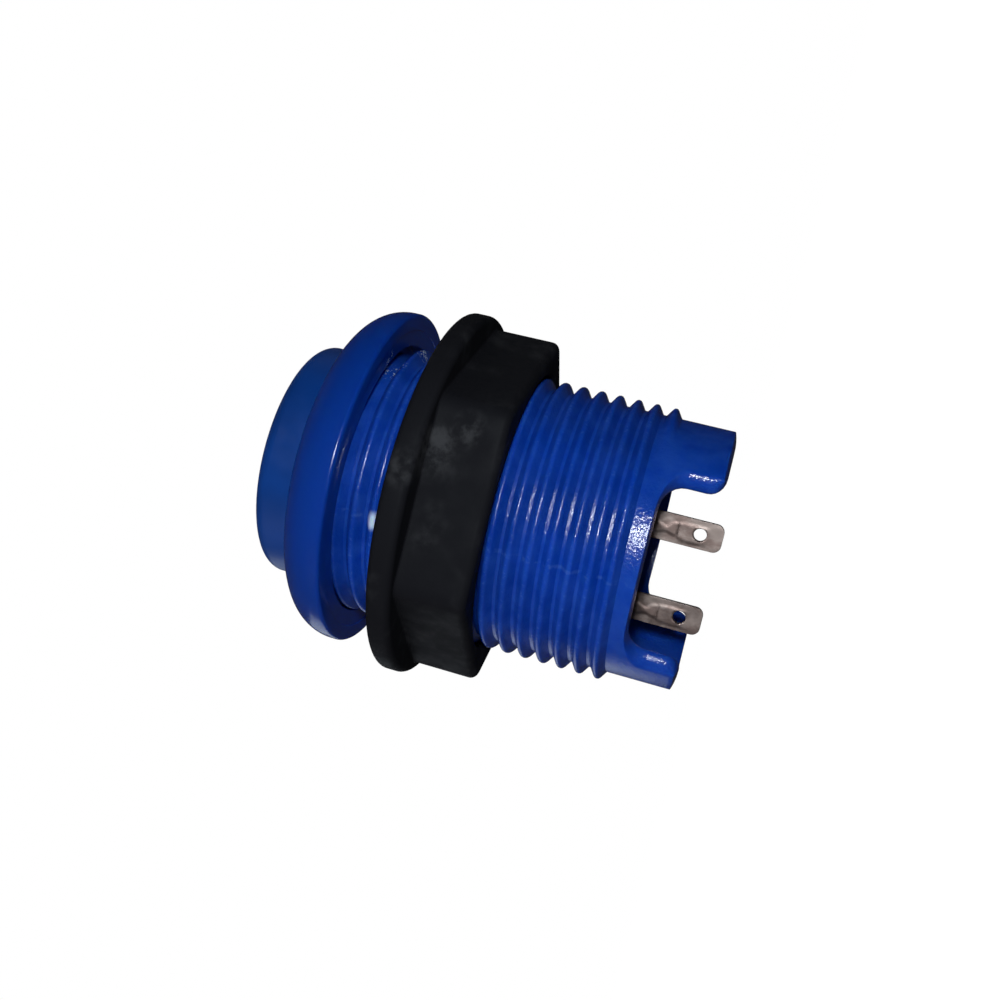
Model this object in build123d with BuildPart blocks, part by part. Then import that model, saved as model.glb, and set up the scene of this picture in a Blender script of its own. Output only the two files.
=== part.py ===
from build123d import *
from math import asin, atan2, cos, degrees, hypot, radians, sin, sqrt, tan
import os

os.makedirs("parts", exist_ok=True)

# Panel push button with a threaded housing, a sprung plunger, a lock nut and a built-in lever switch.
# Lengths are millimetres and angles are degrees. The origin lies on the axis in the plane of the
# bezel's underside, which is the panel seat. +Z points out of the panel, towards the pressed face.

# Bezel
bezel_rim = 4.95
bezel_height = 5.0
bezel_front_round = 4.2
bezel_back_round = 0.7
bezel_edge_band = 0.1
bezel_seat_width = 0.9
bezel_groove_depth = 1.7

# Barrel, thread and rear legs
barrel_wall = 2.52
barrel_length = 33.5
chamber_wall = 1.8
thread_depth = 0.9
thread_pitch = 1.86
thread_foot = 0.78
thread_crest_half = 0.3
thread_crest_rise = 0.22
thread_head_gap = 0.85
thread_tail_gap = 6.39
thread_root_bite = 0.3
notch_width = 15.5
notch_depth = 5.3
notch_floor_round = 2.0
leg_tip_round = 2.5

# Plunger and its guide
plunger_radius = 12.05
plunger_proud = 4.4
plunger_edge_round = 1.2
plunger_top = 1.8
plunger_wall = 1.5
press_travel = 3.0
shoulder_depth = 1.4
guide_step = 1.65
guide_end_gap = 1.1
well_gap = 0.3
guide_gap = 0.08
stop_gap = 0.1
stem_radius = 2.3
stem_rib_gap = 0.3
stem_rib_width = 1.0
collar_height = 1.5
web_depth = 8.6
web_thickness = 1.5
web_boss_height = 1.2
snap_leg_arc = 28.0
snap_leg_gap = 0.2
barb_reach = 0.5
barb_land = 0.5
barb_height = 1.5

# Return spring
spring_mean_radius = 4.7
spring_wire = 0.7
spring_turns = 6.5
spring_seat_gap = 0.02

# Lock nut
nut_wall = 1.35
nut_flange_overhang = 0.75
nut_flange_thickness = 2.4
nut_flange_round = 0.7
nut_length = 9.1
nut_corner_round = 2.0
nut_rear_round = 0.8
nut_sides = 6
nut_turn = -51.0
nut_thread_gap = 0.25
nut_bore_chamfer = 0.25
nut_offset = 5.05

# Switch body
chamber_gap = 0.15
switch_width = 6.4
switch_corner_round = 0.8
cover_height = 6.2
cover_wall = 0.9
base_height = 3.9
base_lug = 0.7
base_plug_height = 0.5
lever_room = 7.1
fit_gap = 0.1
seat_gap = 0.05

# Lever and its pin
pivot_inset = 0.9
lever_rise = 20.0
lever_overhang = 2.0
lever_width = 3.8
lever_under = 0.2
lever_thickness = 0.4
lever_eye_radius = 0.9
lever_tip_round = 1.2
pivot_height = 1.1
pin_radius = 0.5
pin_run_gap = 0.05
pin_fit_gap = 0.02
ear_thickness = 0.8
ear_gap = 0.15

# Switch button, blade and contacts
button_arm = 3.5
button_radius = 1.0
button_ball = 1.2
button_flange_radius = 1.6
button_flange_height = 0.6
button_nub = 0.3
blade_thickness = 0.25
blade_width = 3.6
blade_tail = 0.85
blade_tip = 1.5
contact_radius = 0.95
contact_height = 0.45
rivet_shank_radius = 0.5
rivet_tail_radius = 0.75
rivet_tail_height = 0.2
contact_close_gap = 0.04
blade_spring_radius = 0.95
blade_spring_wire = 0.26
blade_spring_turns = 4.0
blade_spring_boss_height = 0.6

# Terminals
tab_width = 2.8
tab_thickness = 0.5
tab_plane_y = -1.5
tab_reach = 1.0
tab_corner_round = 0.8
tab_hole_radius = 0.63
tab_hole_inset = 2.2
common_tab_inset = 4.15
contact_tab_inset = 2.75
shelf_half_width = 1.8
shoulder_step = 0.4
shoulder_height = 0.6

# Switch holders inside the barrel
stop_half_width = 2.6
stop_height = 4.0
snap_bump_reach = 1.0
snap_bump_height = 1.8
rib_width = 1.1
rib_reach = 1.8
wall_bite = 0.3

# Worked-out radii
well_radius = plunger_radius + well_gap
bezel_radius = well_radius + bezel_rim
groove_radius = bezel_radius - bezel_back_round - bezel_seat_width
bezel_front_fillet = min(bezel_front_round, bezel_height - bezel_back_round - bezel_edge_band)
guide_radius = plunger_radius - guide_step
guide_bore = guide_radius + guide_gap
leg_inner_radius = guide_radius - plunger_wall
barrel_radius = guide_bore + barrel_wall
chamber_radius = barrel_radius - chamber_wall
thread_crest_radius = barrel_radius + thread_depth
thread_reach = barrel_length + bezel_groove_depth - thread_tail_gap - thread_head_gap
thread_turns = int(thread_reach / thread_pitch) + 1
stem_bore = stem_radius + guide_gap
spring_core_radius = spring_mean_radius - spring_wire
stem_rib_reach = spring_core_radius - stem_rib_gap
nut_bore = thread_crest_radius + nut_thread_gap
nut_corner_radius = (nut_bore + nut_wall) / cos(radians(180 / nut_sides))
nut_flange_radius = nut_corner_radius + nut_flange_overhang

# Worked-out places along the switch
lug_x = sqrt((chamber_radius - chamber_gap) ** 2 - (switch_width / 2) ** 2)
switch_length = 2 * (lug_x - base_lug)
pivot_x = switch_length / 2 - pivot_inset
lever_length = pivot_x / cos(radians(lever_rise)) + lever_overhang
button_x = pivot_x - button_arm
contact_tab_x = button_x - contact_tab_inset
common_tab_x = common_tab_inset - switch_length / 2

# Worked-out heights, from the pressed face down to the tabs
face_z = bezel_height + plunger_proud
cap_under_z = face_z - plunger_top
shoulder_z = bezel_height - shoulder_depth
well_floor_z = shoulder_z - press_travel - stop_gap
web_top_z = -web_depth
web_under_z = web_top_z - web_thickness
guide_end_z = web_top_z + press_travel + guide_end_gap
barb_top_z = web_under_z - stop_gap
cover_top_z = web_under_z - lever_room
cover_under_z = cover_top_z - cover_height
base_under_z = cover_under_z - base_height
plug_top_z = cover_under_z + base_plug_height
tab_end_z = -barrel_length - tab_reach
pivot_z = cover_top_z + pivot_height
nut_front_z = -nut_offset


def on_lever(arm, face, ball, angle):
    """Height over the pivot of a ball end that rests on the lever's upper face."""
    turn = radians(angle)
    return arm * tan(turn) + (face + ball) / cos(turn) - ball


def under_lever(arm, face, ball, angle):
    """Height over the pivot of a ball end that touches the lever's lower face."""
    turn = radians(angle)
    return arm * tan(turn) + (face - ball) / cos(turn) + ball


def lever_angle_under(height, arm, face, ball):
    """Angle of the lever when its upper face meets a ball end at this height."""
    lift = height + ball
    return degrees(atan2(lift, arm) - asin((face + ball) / hypot(arm, lift)))


# Path of the push: stem, lever, switch button, blade, contacts
lever_over = lever_under + lever_thickness
stem_rest = on_lever(pivot_x, lever_over, stem_radius, lever_rise)
stem_tip_z = pivot_z + stem_rest + seat_gap
pressed_angle = lever_angle_under(stem_rest - press_travel, pivot_x, lever_over, stem_radius)
button_rest = under_lever(button_arm, lever_under, button_ball, lever_rise)
button_travel = button_rest - under_lever(button_arm, lever_under, button_ball, pressed_angle)
button_top_z = pivot_z + button_rest - seat_gap
button_flange_z = cover_top_z - cover_wall - seat_gap
button_under_z = button_flange_z - button_flange_height
blade_top_z = button_under_z - button_nub - seat_gap
blade_under_z = blade_top_z - blade_thickness
blade_pivot_x = common_tab_x + tab_width / 2
blade_turn = button_travel / (button_x - blade_pivot_x)
contact_gap = (contact_tab_x + contact_radius - blade_pivot_x) * blade_turn + contact_close_gap
common_shelf_z = blade_under_z - seat_gap
fixed_head_z = blade_under_z - contact_height - contact_gap
contact_shelf_z = fixed_head_z - contact_height


def radial_plane(angle):
    """Half-section plane through the Z axis at a polar angle, radius along x and height along y."""
    turn = radians(angle)
    return Plane(origin=(0, 0, 0), x_dir=(cos(turn), sin(turn), 0), z_dir=(sin(turn), -cos(turn), 0))


# Housing: bezel, barrel, web, rear legs, switch holders and thread in one moulding
with BuildPart() as housing:
    with BuildSketch(Plane.XZ) as outer_section:
        with BuildLine():
            Polyline(
                (0, -barrel_length),
                (barrel_radius, -barrel_length),
                (barrel_radius, bezel_groove_depth),
                (groove_radius, bezel_groove_depth),
                (groove_radius, 0),
                (bezel_radius, 0),
                (bezel_radius, bezel_height),
                (0, bezel_height),
                close=True,
            )
        make_face()
        rim = outer_section.vertices().group_by(Axis.X)[-1].sort_by(Axis.Y)
        fillet(rim[-1], bezel_front_fillet)
        rim = outer_section.vertices().group_by(Axis.X)[-1].sort_by(Axis.Y)
        fillet(rim[0], bezel_back_round)

        # Thread: one rounded ridge for each turn, a pitch apart
        for turn in range(thread_turns):
            crest_z = thread_tail_gap - barrel_length + turn * thread_pitch
            crest_foot = thread_crest_radius - thread_crest_rise
            with BuildLine():
                Polyline(
                    (crest_foot, crest_z - thread_crest_half),
                    (barrel_radius, crest_z - thread_foot),
                    (barrel_radius - thread_root_bite, crest_z - thread_foot),
                    (barrel_radius - thread_root_bite, crest_z + thread_foot),
                    (barrel_radius, crest_z + thread_foot),
                    (crest_foot, crest_z + thread_crest_half),
                )
                ThreePointArc(
                    (crest_foot, crest_z + thread_crest_half),
                    (thread_crest_radius, crest_z),
                    (crest_foot, crest_z - thread_crest_half),
                )
            make_face()
    revolve(axis=Axis.Z)

    # Stepped bore: cap well, guide, stem bore through the web, switch chamber
    with BuildSketch(Plane.XZ) as bore_section:
        with BuildLine():
            Polyline(
                (0, bezel_height),
                (well_radius, bezel_height),
                (well_radius, well_floor_z),
                (guide_bore, well_floor_z),
                (guide_bore, web_top_z),
                (spring_core_radius, web_top_z),
                (spring_core_radius, web_top_z + web_boss_height),
                (stem_bore, web_top_z + web_boss_height),
                (stem_bore, web_under_z),
                (chamber_radius, web_under_z),
                (chamber_radius, -barrel_length),
                (0, -barrel_length),
                close=True,
            )
        make_face()
    revolve(axis=Axis.Z, mode=Mode.SUBTRACT)

    # Windows in the web for the plunger's two snap legs
    window_margin = degrees(asin(snap_leg_gap / leg_inner_radius))
    window_arc = snap_leg_arc + 2 * window_margin
    for leg_angle in (90, 270):
        with BuildSketch(radial_plane(leg_angle - window_arc / 2)):
            with BuildLine():
                Polyline(
                    (leg_inner_radius - snap_leg_gap, web_under_z),
                    (guide_bore, web_under_z),
                    (guide_bore, web_top_z),
                    (leg_inner_radius - snap_leg_gap, web_top_z),
                    close=True,
                )
            make_face()
        revolve(axis=Axis.Z, revolution_arc=window_arc, mode=Mode.SUBTRACT)

    # Notches that leave the two rear legs
    with BuildSketch(Plane.XZ) as notch:
        half = notch_width / 2
        floor_z = notch_depth - barrel_length
        outside_x = half + 2 * leg_tip_round
        outside_z = -barrel_length - leg_tip_round
        with BuildLine():
            outline = FilletPolyline(
                (-outside_x, -barrel_length),
                (-half, -barrel_length),
                (-half, floor_z),
                (half, floor_z),
                (half, -barrel_length),
                (outside_x, -barrel_length),
                radius=[leg_tip_round, notch_floor_round, notch_floor_round, leg_tip_round],
            )
            Polyline(outline @ 1, (outside_x, outside_z), (-outside_x, outside_z), outline @ 0)
        make_face()
    extrude(amount=bezel_radius, both=True, mode=Mode.SUBTRACT)

    # Stops over the switch's two lugs
    with BuildSketch(Plane.XY.offset(cover_under_z + seat_gap)):
        Circle(chamber_radius + wall_bite)
        Rectangle(switch_length + 2 * fit_gap, 2 * bezel_radius, mode=Mode.SUBTRACT)
        Rectangle(2 * bezel_radius, 2 * stop_half_width, mode=Mode.INTERSECT)
    extrude(amount=stop_height)

    # Ribs on both sides of each lug
    with BuildSketch(Plane.XY.offset(base_under_z)):
        Circle(chamber_radius + wall_bite)
        Rectangle(2 * (lug_x - rib_reach), 2 * bezel_radius, mode=Mode.SUBTRACT)
        Rectangle(2 * bezel_radius, switch_width + 2 * (fit_gap + rib_width), mode=Mode.INTERSECT)
        Rectangle(2 * bezel_radius, switch_width + 2 * fit_gap, mode=Mode.SUBTRACT)
    extrude(amount=base_height + stop_height)

    # Snap bumps on the legs, under the lugs
    for side in (1, -1):
        bump_x = side * (lug_x - snap_bump_reach)
        wall_x = side * (chamber_radius + wall_bite)
        with BuildSketch(Plane.XZ):
            with BuildLine():
                Polyline(
                    (bump_x, base_under_z - seat_gap),
                    (wall_x, base_under_z - seat_gap),
                    (wall_x, base_under_z - seat_gap - snap_bump_height),
                    close=True,
                )
            make_face()
        extrude(amount=stop_half_width, both=True)
housing.part.label = "housing"
export_step(housing.part, "parts/housing.step")

# Plunger: hollow cap, guide skirt, stem with ribs and two snap legs
with BuildPart() as plunger:
    with BuildSketch(Plane.XZ) as cap_section:
        with BuildLine():
            Polyline(
                (0, face_z),
                (plunger_radius, face_z),
                (plunger_radius, shoulder_z),
                (guide_radius, shoulder_z),
                (guide_radius, guide_end_z),
                (leg_inner_radius, guide_end_z),
                (leg_inner_radius, shoulder_z),
                (plunger_radius - plunger_wall, shoulder_z + plunger_wall),
                (plunger_radius - plunger_wall, cap_under_z),
                (spring_core_radius, cap_under_z),
                (spring_core_radius, cap_under_z - collar_height),
                (0, cap_under_z - collar_height),
                close=True,
            )
        make_face()
        edge = cap_section.vertices().group_by(Axis.X)[-1].sort_by(Axis.Y)[-1]
        fillet(edge, plunger_edge_round)
    revolve(axis=Axis.Z)

    # Stem with a ball end
    with BuildSketch(Plane.XZ):
        with BuildLine():
            stem_ball_z = stem_tip_z + stem_radius
            Polyline((0, stem_tip_z), (0, cap_under_z), (stem_radius, cap_under_z), (stem_radius, stem_ball_z))
            RadiusArc((stem_radius, stem_ball_z), (0, stem_tip_z), stem_radius)
        make_face()
    revolve(axis=Axis.Z)
    with BuildSketch(Plane.XY.offset(web_top_z + web_boss_height + press_travel + stop_gap)):
        with PolarLocations(0, 2):
            Rectangle(2 * stem_rib_reach, stem_rib_width)
            Rectangle(stem_rib_width, 2 * stem_rib_reach)
    extrude(until=Until.NEXT)

    # Snap legs, with barbs that catch under the web
    for leg_angle in (90, 270):
        with BuildSketch(radial_plane(leg_angle - snap_leg_arc / 2)):
            with BuildLine():
                Polyline(
                    (leg_inner_radius, guide_end_z),
                    (guide_radius, guide_end_z),
                    (guide_radius, barb_top_z),
                    (guide_radius + barb_reach, barb_top_z),
                    (guide_radius + barb_reach, barb_top_z - barb_land),
                    (guide_radius - barb_reach, barb_top_z - barb_height),
                    (leg_inner_radius, barb_top_z - barb_height),
                    close=True,
                )
            make_face()
        revolve(axis=Axis.Z, revolution_arc=snap_leg_arc)
plunger.part.label = "plunger"
export_step(plunger.part, "parts/plunger.step")

# Lock nut: round flange and six-sided grip
with BuildPart() as lock_nut:
    with BuildSketch(Plane.XY.offset(nut_front_z - nut_length)) as grip:
        RegularPolygon(radius=nut_corner_radius, side_count=nut_sides, rotation=nut_turn)
        fillet(grip.vertices(), nut_corner_round)
    extrude(amount=nut_length)
    fillet(lock_nut.faces().sort_by(Axis.Z)[0].edges(), nut_rear_round)
    with BuildSketch(Plane.XY.offset(nut_front_z)):
        Circle(nut_flange_radius)
    extrude(amount=-nut_flange_thickness)
    fillet(lock_nut.edges().filter_by(GeomType.CIRCLE).group_by(SortBy.RADIUS)[-1], nut_flange_round)
    with BuildSketch(Plane.XY.offset(nut_front_z)):
        Circle(nut_bore)
    extrude(amount=-nut_length, mode=Mode.SUBTRACT)
    mouth = lock_nut.edges().filter_by(GeomType.CIRCLE).filter_by(lambda edge: edge.radius < nut_bore + 0.01)
    chamfer(mouth, nut_bore_chamfer)
lock_nut.part.label = "lock_nut"
export_step(lock_nut.part, "parts/lock_nut.step")


# Coil springs
def coil_spring(label, mean_radius, wire, turns, low_z, high_z, x):
    """Round-wire coil that fills the height from low_z to high_z, with its axis at x."""
    with BuildPart() as spring:
        rise = high_z - low_z - wire
        with BuildLine() as coil:
            Helix(pitch=rise / turns, height=rise, radius=mean_radius, center=(x, 0, low_z + wire / 2))
        with BuildSketch(Plane(origin=coil.line @ 0, x_dir=(1, 0, 0), z_dir=coil.line % 0)):
            Circle(wire / 2)
        sweep(path=coil.line, is_frenet=True)
    spring.part.label = label
    export_step(spring.part, "parts/" + label + ".step")


coil_spring(
    "return_spring",
    spring_mean_radius,
    spring_wire,
    spring_turns,
    web_top_z + spring_seat_gap,
    cap_under_z - spring_seat_gap,
    0,
)
coil_spring(
    "blade_spring",
    blade_spring_radius,
    blade_spring_wire,
    blade_spring_turns,
    plug_top_z + spring_seat_gap,
    blade_under_z - spring_seat_gap,
    button_x,
)

# Switch cover: open box with the ears of the lever on top
with BuildPart() as switch_cover:
    with BuildSketch(Plane.XY.offset(cover_under_z)):
        RectangleRounded(switch_length, switch_width, switch_corner_round)
    extrude(amount=cover_height)
    with BuildSketch(Plane.XY.offset(cover_under_z)):
        Rectangle(switch_length - 2 * cover_wall, switch_width - 2 * cover_wall)
    extrude(amount=cover_height - cover_wall, mode=Mode.SUBTRACT)
    with Locations((button_x, 0, cover_top_z)):
        Hole(button_radius + guide_gap, depth=2 * cover_wall)
    ear_inner = lever_width / 2 + ear_gap
    for side_y in (ear_inner + ear_thickness, -ear_inner):
        with BuildSketch(Plane.XZ.offset(-side_y)):
            with Locations((pivot_x, pivot_z)):
                Circle(lever_eye_radius)
            with Locations((pivot_x, (pivot_z + cover_top_z) / 2)):
                Rectangle(2 * lever_eye_radius, pivot_z - cover_top_z)
            with Locations((pivot_x, pivot_z)):
                Circle(pin_radius + pin_fit_gap, mode=Mode.SUBTRACT)
        extrude(amount=ear_thickness)
switch_cover.part.label = "switch_cover"
export_step(switch_cover.part, "parts/switch_cover.step")

# Switch base: lugs at both ends, a plug inside the cover and the slots of the terminals
with BuildPart() as switch_base:
    with BuildSketch(Plane.XY.offset(base_under_z)) as base_plan:
        Rectangle(2 * lug_x, switch_width)
        fillet(base_plan.vertices(), switch_corner_round)
    extrude(amount=base_height - seat_gap)
    with BuildSketch(Plane.XY.offset(base_under_z)):
        Rectangle(
            switch_length - 2 * (cover_wall + fit_gap), switch_width - 2 * (cover_wall + fit_gap)
        )
    extrude(amount=base_height + base_plug_height)
    with BuildSketch(Plane.XY.offset(plug_top_z)):
        with Locations((button_x, 0)):
            Circle(blade_spring_radius - blade_spring_wire)
    extrude(amount=blade_spring_boss_height)
    with BuildSketch(Plane.XY.offset(base_under_z)):
        with Locations((common_tab_x, tab_plane_y), (contact_tab_x, tab_plane_y)):
            Rectangle(tab_width + 2 * seat_gap, tab_thickness + 2 * seat_gap)
    extrude(amount=base_height + base_plug_height, mode=Mode.SUBTRACT)
switch_base.part.label = "switch_base"
export_step(switch_base.part, "parts/switch_base.step")

# Switch lever: a strip with a rolled eye, raised by the lever's rest angle
with BuildPart() as switch_lever:
    rise = radians(lever_rise)
    lever_plane = Plane(
        origin=(pivot_x, 0, pivot_z), x_dir=(-cos(rise), 0, sin(rise)), z_dir=(0, 1, 0)
    )
    with BuildSketch(lever_plane):
        Circle(lever_eye_radius)
        with Locations((lever_length / 2, lever_under + lever_thickness / 2)):
            Rectangle(lever_length, lever_thickness)
        Circle(pin_radius + pin_run_gap, mode=Mode.SUBTRACT)
    extrude(amount=lever_width / 2, both=True)
    tip_edges = switch_lever.edges().filter_by(lambda edge: abs(edge.length - lever_thickness) < 0.001)
    fillet(tip_edges.sort_by(Axis.X)[:2], lever_tip_round)
switch_lever.part.label = "switch_lever"
export_step(switch_lever.part, "parts/switch_lever.step")

# Pin of the lever, flush with the ears
with BuildPart() as lever_pin:
    with BuildSketch(Plane.XZ):
        with Locations((pivot_x, pivot_z)):
            Circle(pin_radius)
    extrude(amount=lever_width / 2 + ear_gap + ear_thickness, both=True)
lever_pin.part.label = "lever_pin"
export_step(lever_pin.part, "parts/lever_pin.step")

# Switch button: round pin with domed ends and a flange inside the cover
with BuildPart() as switch_button:
    with BuildSketch(Plane.XZ):
        dome_drop = button_ball - sqrt(button_ball**2 - button_radius**2)
        nub_radius = sqrt(2 * button_ball * button_nub - button_nub**2)
        with BuildLine():
            RadiusArc(
                (button_x + nub_radius, button_under_z), (button_x, button_under_z - button_nub), button_ball
            )
            Polyline(
                (button_x, button_under_z - button_nub),
                (button_x, button_top_z),
            )
            RadiusArc(
                (button_x, button_top_z), (button_x + button_radius, button_top_z - dome_drop), button_ball
            )
            Polyline(
                (button_x + button_radius, button_top_z - dome_drop),
                (button_x + button_radius, button_flange_z),
                (button_x + button_flange_radius, button_flange_z),
                (button_x + button_flange_radius, button_under_z),
                (button_x + nub_radius, button_under_z),
            )
        make_face()
    revolve(axis=Axis((button_x, 0, 0), (0, 0, 1)))
switch_button.part.label = "switch_button"
export_step(switch_button.part, "parts/switch_button.step")

# Contact blade: a flat strip from the common terminal to beyond the switch button
with BuildPart() as contact_blade:
    blade_low_x = blade_pivot_x - blade_tail
    blade_high_x = button_x + blade_tip
    with BuildSketch(Plane.XY.offset(blade_under_z)) as blade_plan:
        with Locations(((blade_low_x + blade_high_x) / 2, 0)):
            Rectangle(blade_high_x - blade_low_x, blade_width)
        fillet(blade_plan.vertices(), switch_corner_round)
        with Locations((contact_tab_x, 0)):
            Circle(rivet_shank_radius + pin_fit_gap, mode=Mode.SUBTRACT)
    extrude(amount=blade_thickness)
contact_blade.part.label = "contact_blade"
export_step(contact_blade.part, "parts/contact_blade.step")


# Contact rivets: head, shank through the carrier and upset tail
def contact_rivet(label, head_low, head_high, tail_low, tail_high):
    """Rivet at the contact terminal's place, its head and tail each given by two heights."""
    with BuildPart() as rivet:
        for radius, low, high in (
            (contact_radius, head_low, head_high),
            (rivet_tail_radius, tail_low, tail_high),
            (rivet_shank_radius, min(head_low, tail_low), max(head_high, tail_high)),
        ):
            with BuildSketch(Plane.XY.offset(low)):
                with Locations((contact_tab_x, 0)):
                    Circle(radius)
            extrude(amount=high - low)
    rivet.part.label = label
    export_step(rivet.part, "parts/" + label + ".step")


contact_rivet(
    "moving_contact",
    blade_under_z - contact_height,
    blade_under_z,
    blade_top_z,
    blade_top_z + rivet_tail_height,
)
contact_rivet(
    "fixed_contact",
    contact_shelf_z,
    fixed_head_z,
    contact_shelf_z - tab_thickness - rivet_tail_height,
    contact_shelf_z - tab_thickness,
)


# Terminals: a flat tab through the base, shoulders on the plug and a shelf bent over inside
def terminal(label, tab_x, shelf_z, rivet_hole):
    """Strip terminal at tab_x whose shelf's upper face is at shelf_z."""
    plate_y = tab_plane_y + tab_thickness / 2
    with BuildPart() as strip:
        with BuildSketch(Plane.XZ.offset(-plate_y)) as tab:
            with Locations((tab_x, (shelf_z + tab_end_z) / 2)):
                Rectangle(tab_width, shelf_z - tab_end_z)
            fillet(tab.vertices().group_by(Axis.Y)[0], tab_corner_round)
            with Locations((tab_x, plug_top_z + seat_gap + shoulder_height / 2)):
                Rectangle(tab_width + 2 * shoulder_step, shoulder_height)
            with Locations((tab_x, tab_end_z + tab_hole_inset)):
                Circle(tab_hole_radius, mode=Mode.SUBTRACT)
        extrude(amount=tab_thickness)
        shelf_low_y = tab_plane_y - tab_thickness / 2
        with BuildSketch(Plane.XY.offset(shelf_z)):
            with Locations((tab_x, (shelf_low_y + shelf_half_width) / 2)):
                Rectangle(tab_width, shelf_half_width - shelf_low_y)
            if rivet_hole:
                with Locations((tab_x, 0)):
                    Circle(rivet_shank_radius + pin_fit_gap, mode=Mode.SUBTRACT)
        extrude(amount=-tab_thickness)
    strip.part.label = label
    export_step(strip.part, "parts/" + label + ".step")


terminal("common_terminal", common_tab_x, common_shelf_z, False)
terminal("contact_terminal", contact_tab_x, contact_shelf_z, True)
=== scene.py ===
"""Panel push button: dresses the packed model with its moulded, plated and stamped surfaces."""

from math import acos, cos, floor, pi, radians, sin, sqrt, tau

import bmesh
import bpy
from bpy.props import FloatProperty, FloatVectorProperty, IntProperty, PointerProperty
from mathutils import Matrix, Vector


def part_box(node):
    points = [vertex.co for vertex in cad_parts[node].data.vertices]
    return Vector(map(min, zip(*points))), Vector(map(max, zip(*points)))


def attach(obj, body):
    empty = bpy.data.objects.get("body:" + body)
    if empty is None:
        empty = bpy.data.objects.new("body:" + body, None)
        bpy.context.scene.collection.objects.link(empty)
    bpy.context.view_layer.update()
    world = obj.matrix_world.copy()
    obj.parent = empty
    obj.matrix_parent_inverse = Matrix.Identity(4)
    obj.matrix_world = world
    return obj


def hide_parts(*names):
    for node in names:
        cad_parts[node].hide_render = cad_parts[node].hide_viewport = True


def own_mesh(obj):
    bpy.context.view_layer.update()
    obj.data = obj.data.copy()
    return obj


bl_info = {
    "name": "Panel push button",
    "version": (1, 0, 0),
    "blender": (4, 5, 0),
    "location": "3D View > Sidebar > Push button",
    "description": "Builds the visible pieces, the finishes and the stage of a panel push button",
    "category": "Add Mesh",
}

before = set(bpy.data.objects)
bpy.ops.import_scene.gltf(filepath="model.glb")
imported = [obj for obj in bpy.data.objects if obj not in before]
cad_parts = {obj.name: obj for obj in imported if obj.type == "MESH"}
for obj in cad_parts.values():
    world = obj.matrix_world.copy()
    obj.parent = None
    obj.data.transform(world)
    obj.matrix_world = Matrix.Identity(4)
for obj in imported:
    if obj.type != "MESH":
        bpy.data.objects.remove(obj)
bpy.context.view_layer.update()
housing_low, housing_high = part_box("housing")
nut_low, nut_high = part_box("lock_nut")
common_low, common_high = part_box("common_terminal")
contact_low, contact_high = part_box("contact_terminal")
spring_low, spring_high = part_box("return_spring")
blade_spring_low, blade_spring_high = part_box("blade_spring")

MM = 0.001


def length(name, description, default):
    """Length property in metres."""
    return FloatProperty(name=name, description=description, default=default, unit="LENGTH", precision=5)


def film_length(name, description, default):
    """Length property of the camera, in millimetres."""
    return FloatProperty(name=name, description=description, default=default, unit="CAMERA")


def bearing(name, description, degrees):
    """Angle property, given in degrees."""
    return FloatProperty(name=name, description=description, default=radians(degrees), subtype="ANGLE")


def direction(name, description, default):
    """Direction property."""
    return FloatVectorProperty(name=name, description=description, default=default, subtype="DIRECTION")


def colour(name, description, default):
    """Colour property, linear red, green and blue."""
    return FloatVectorProperty(
        name=name, description=description, default=default, subtype="COLOR", size=3, min=0.0, max=1.0
    )


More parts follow.
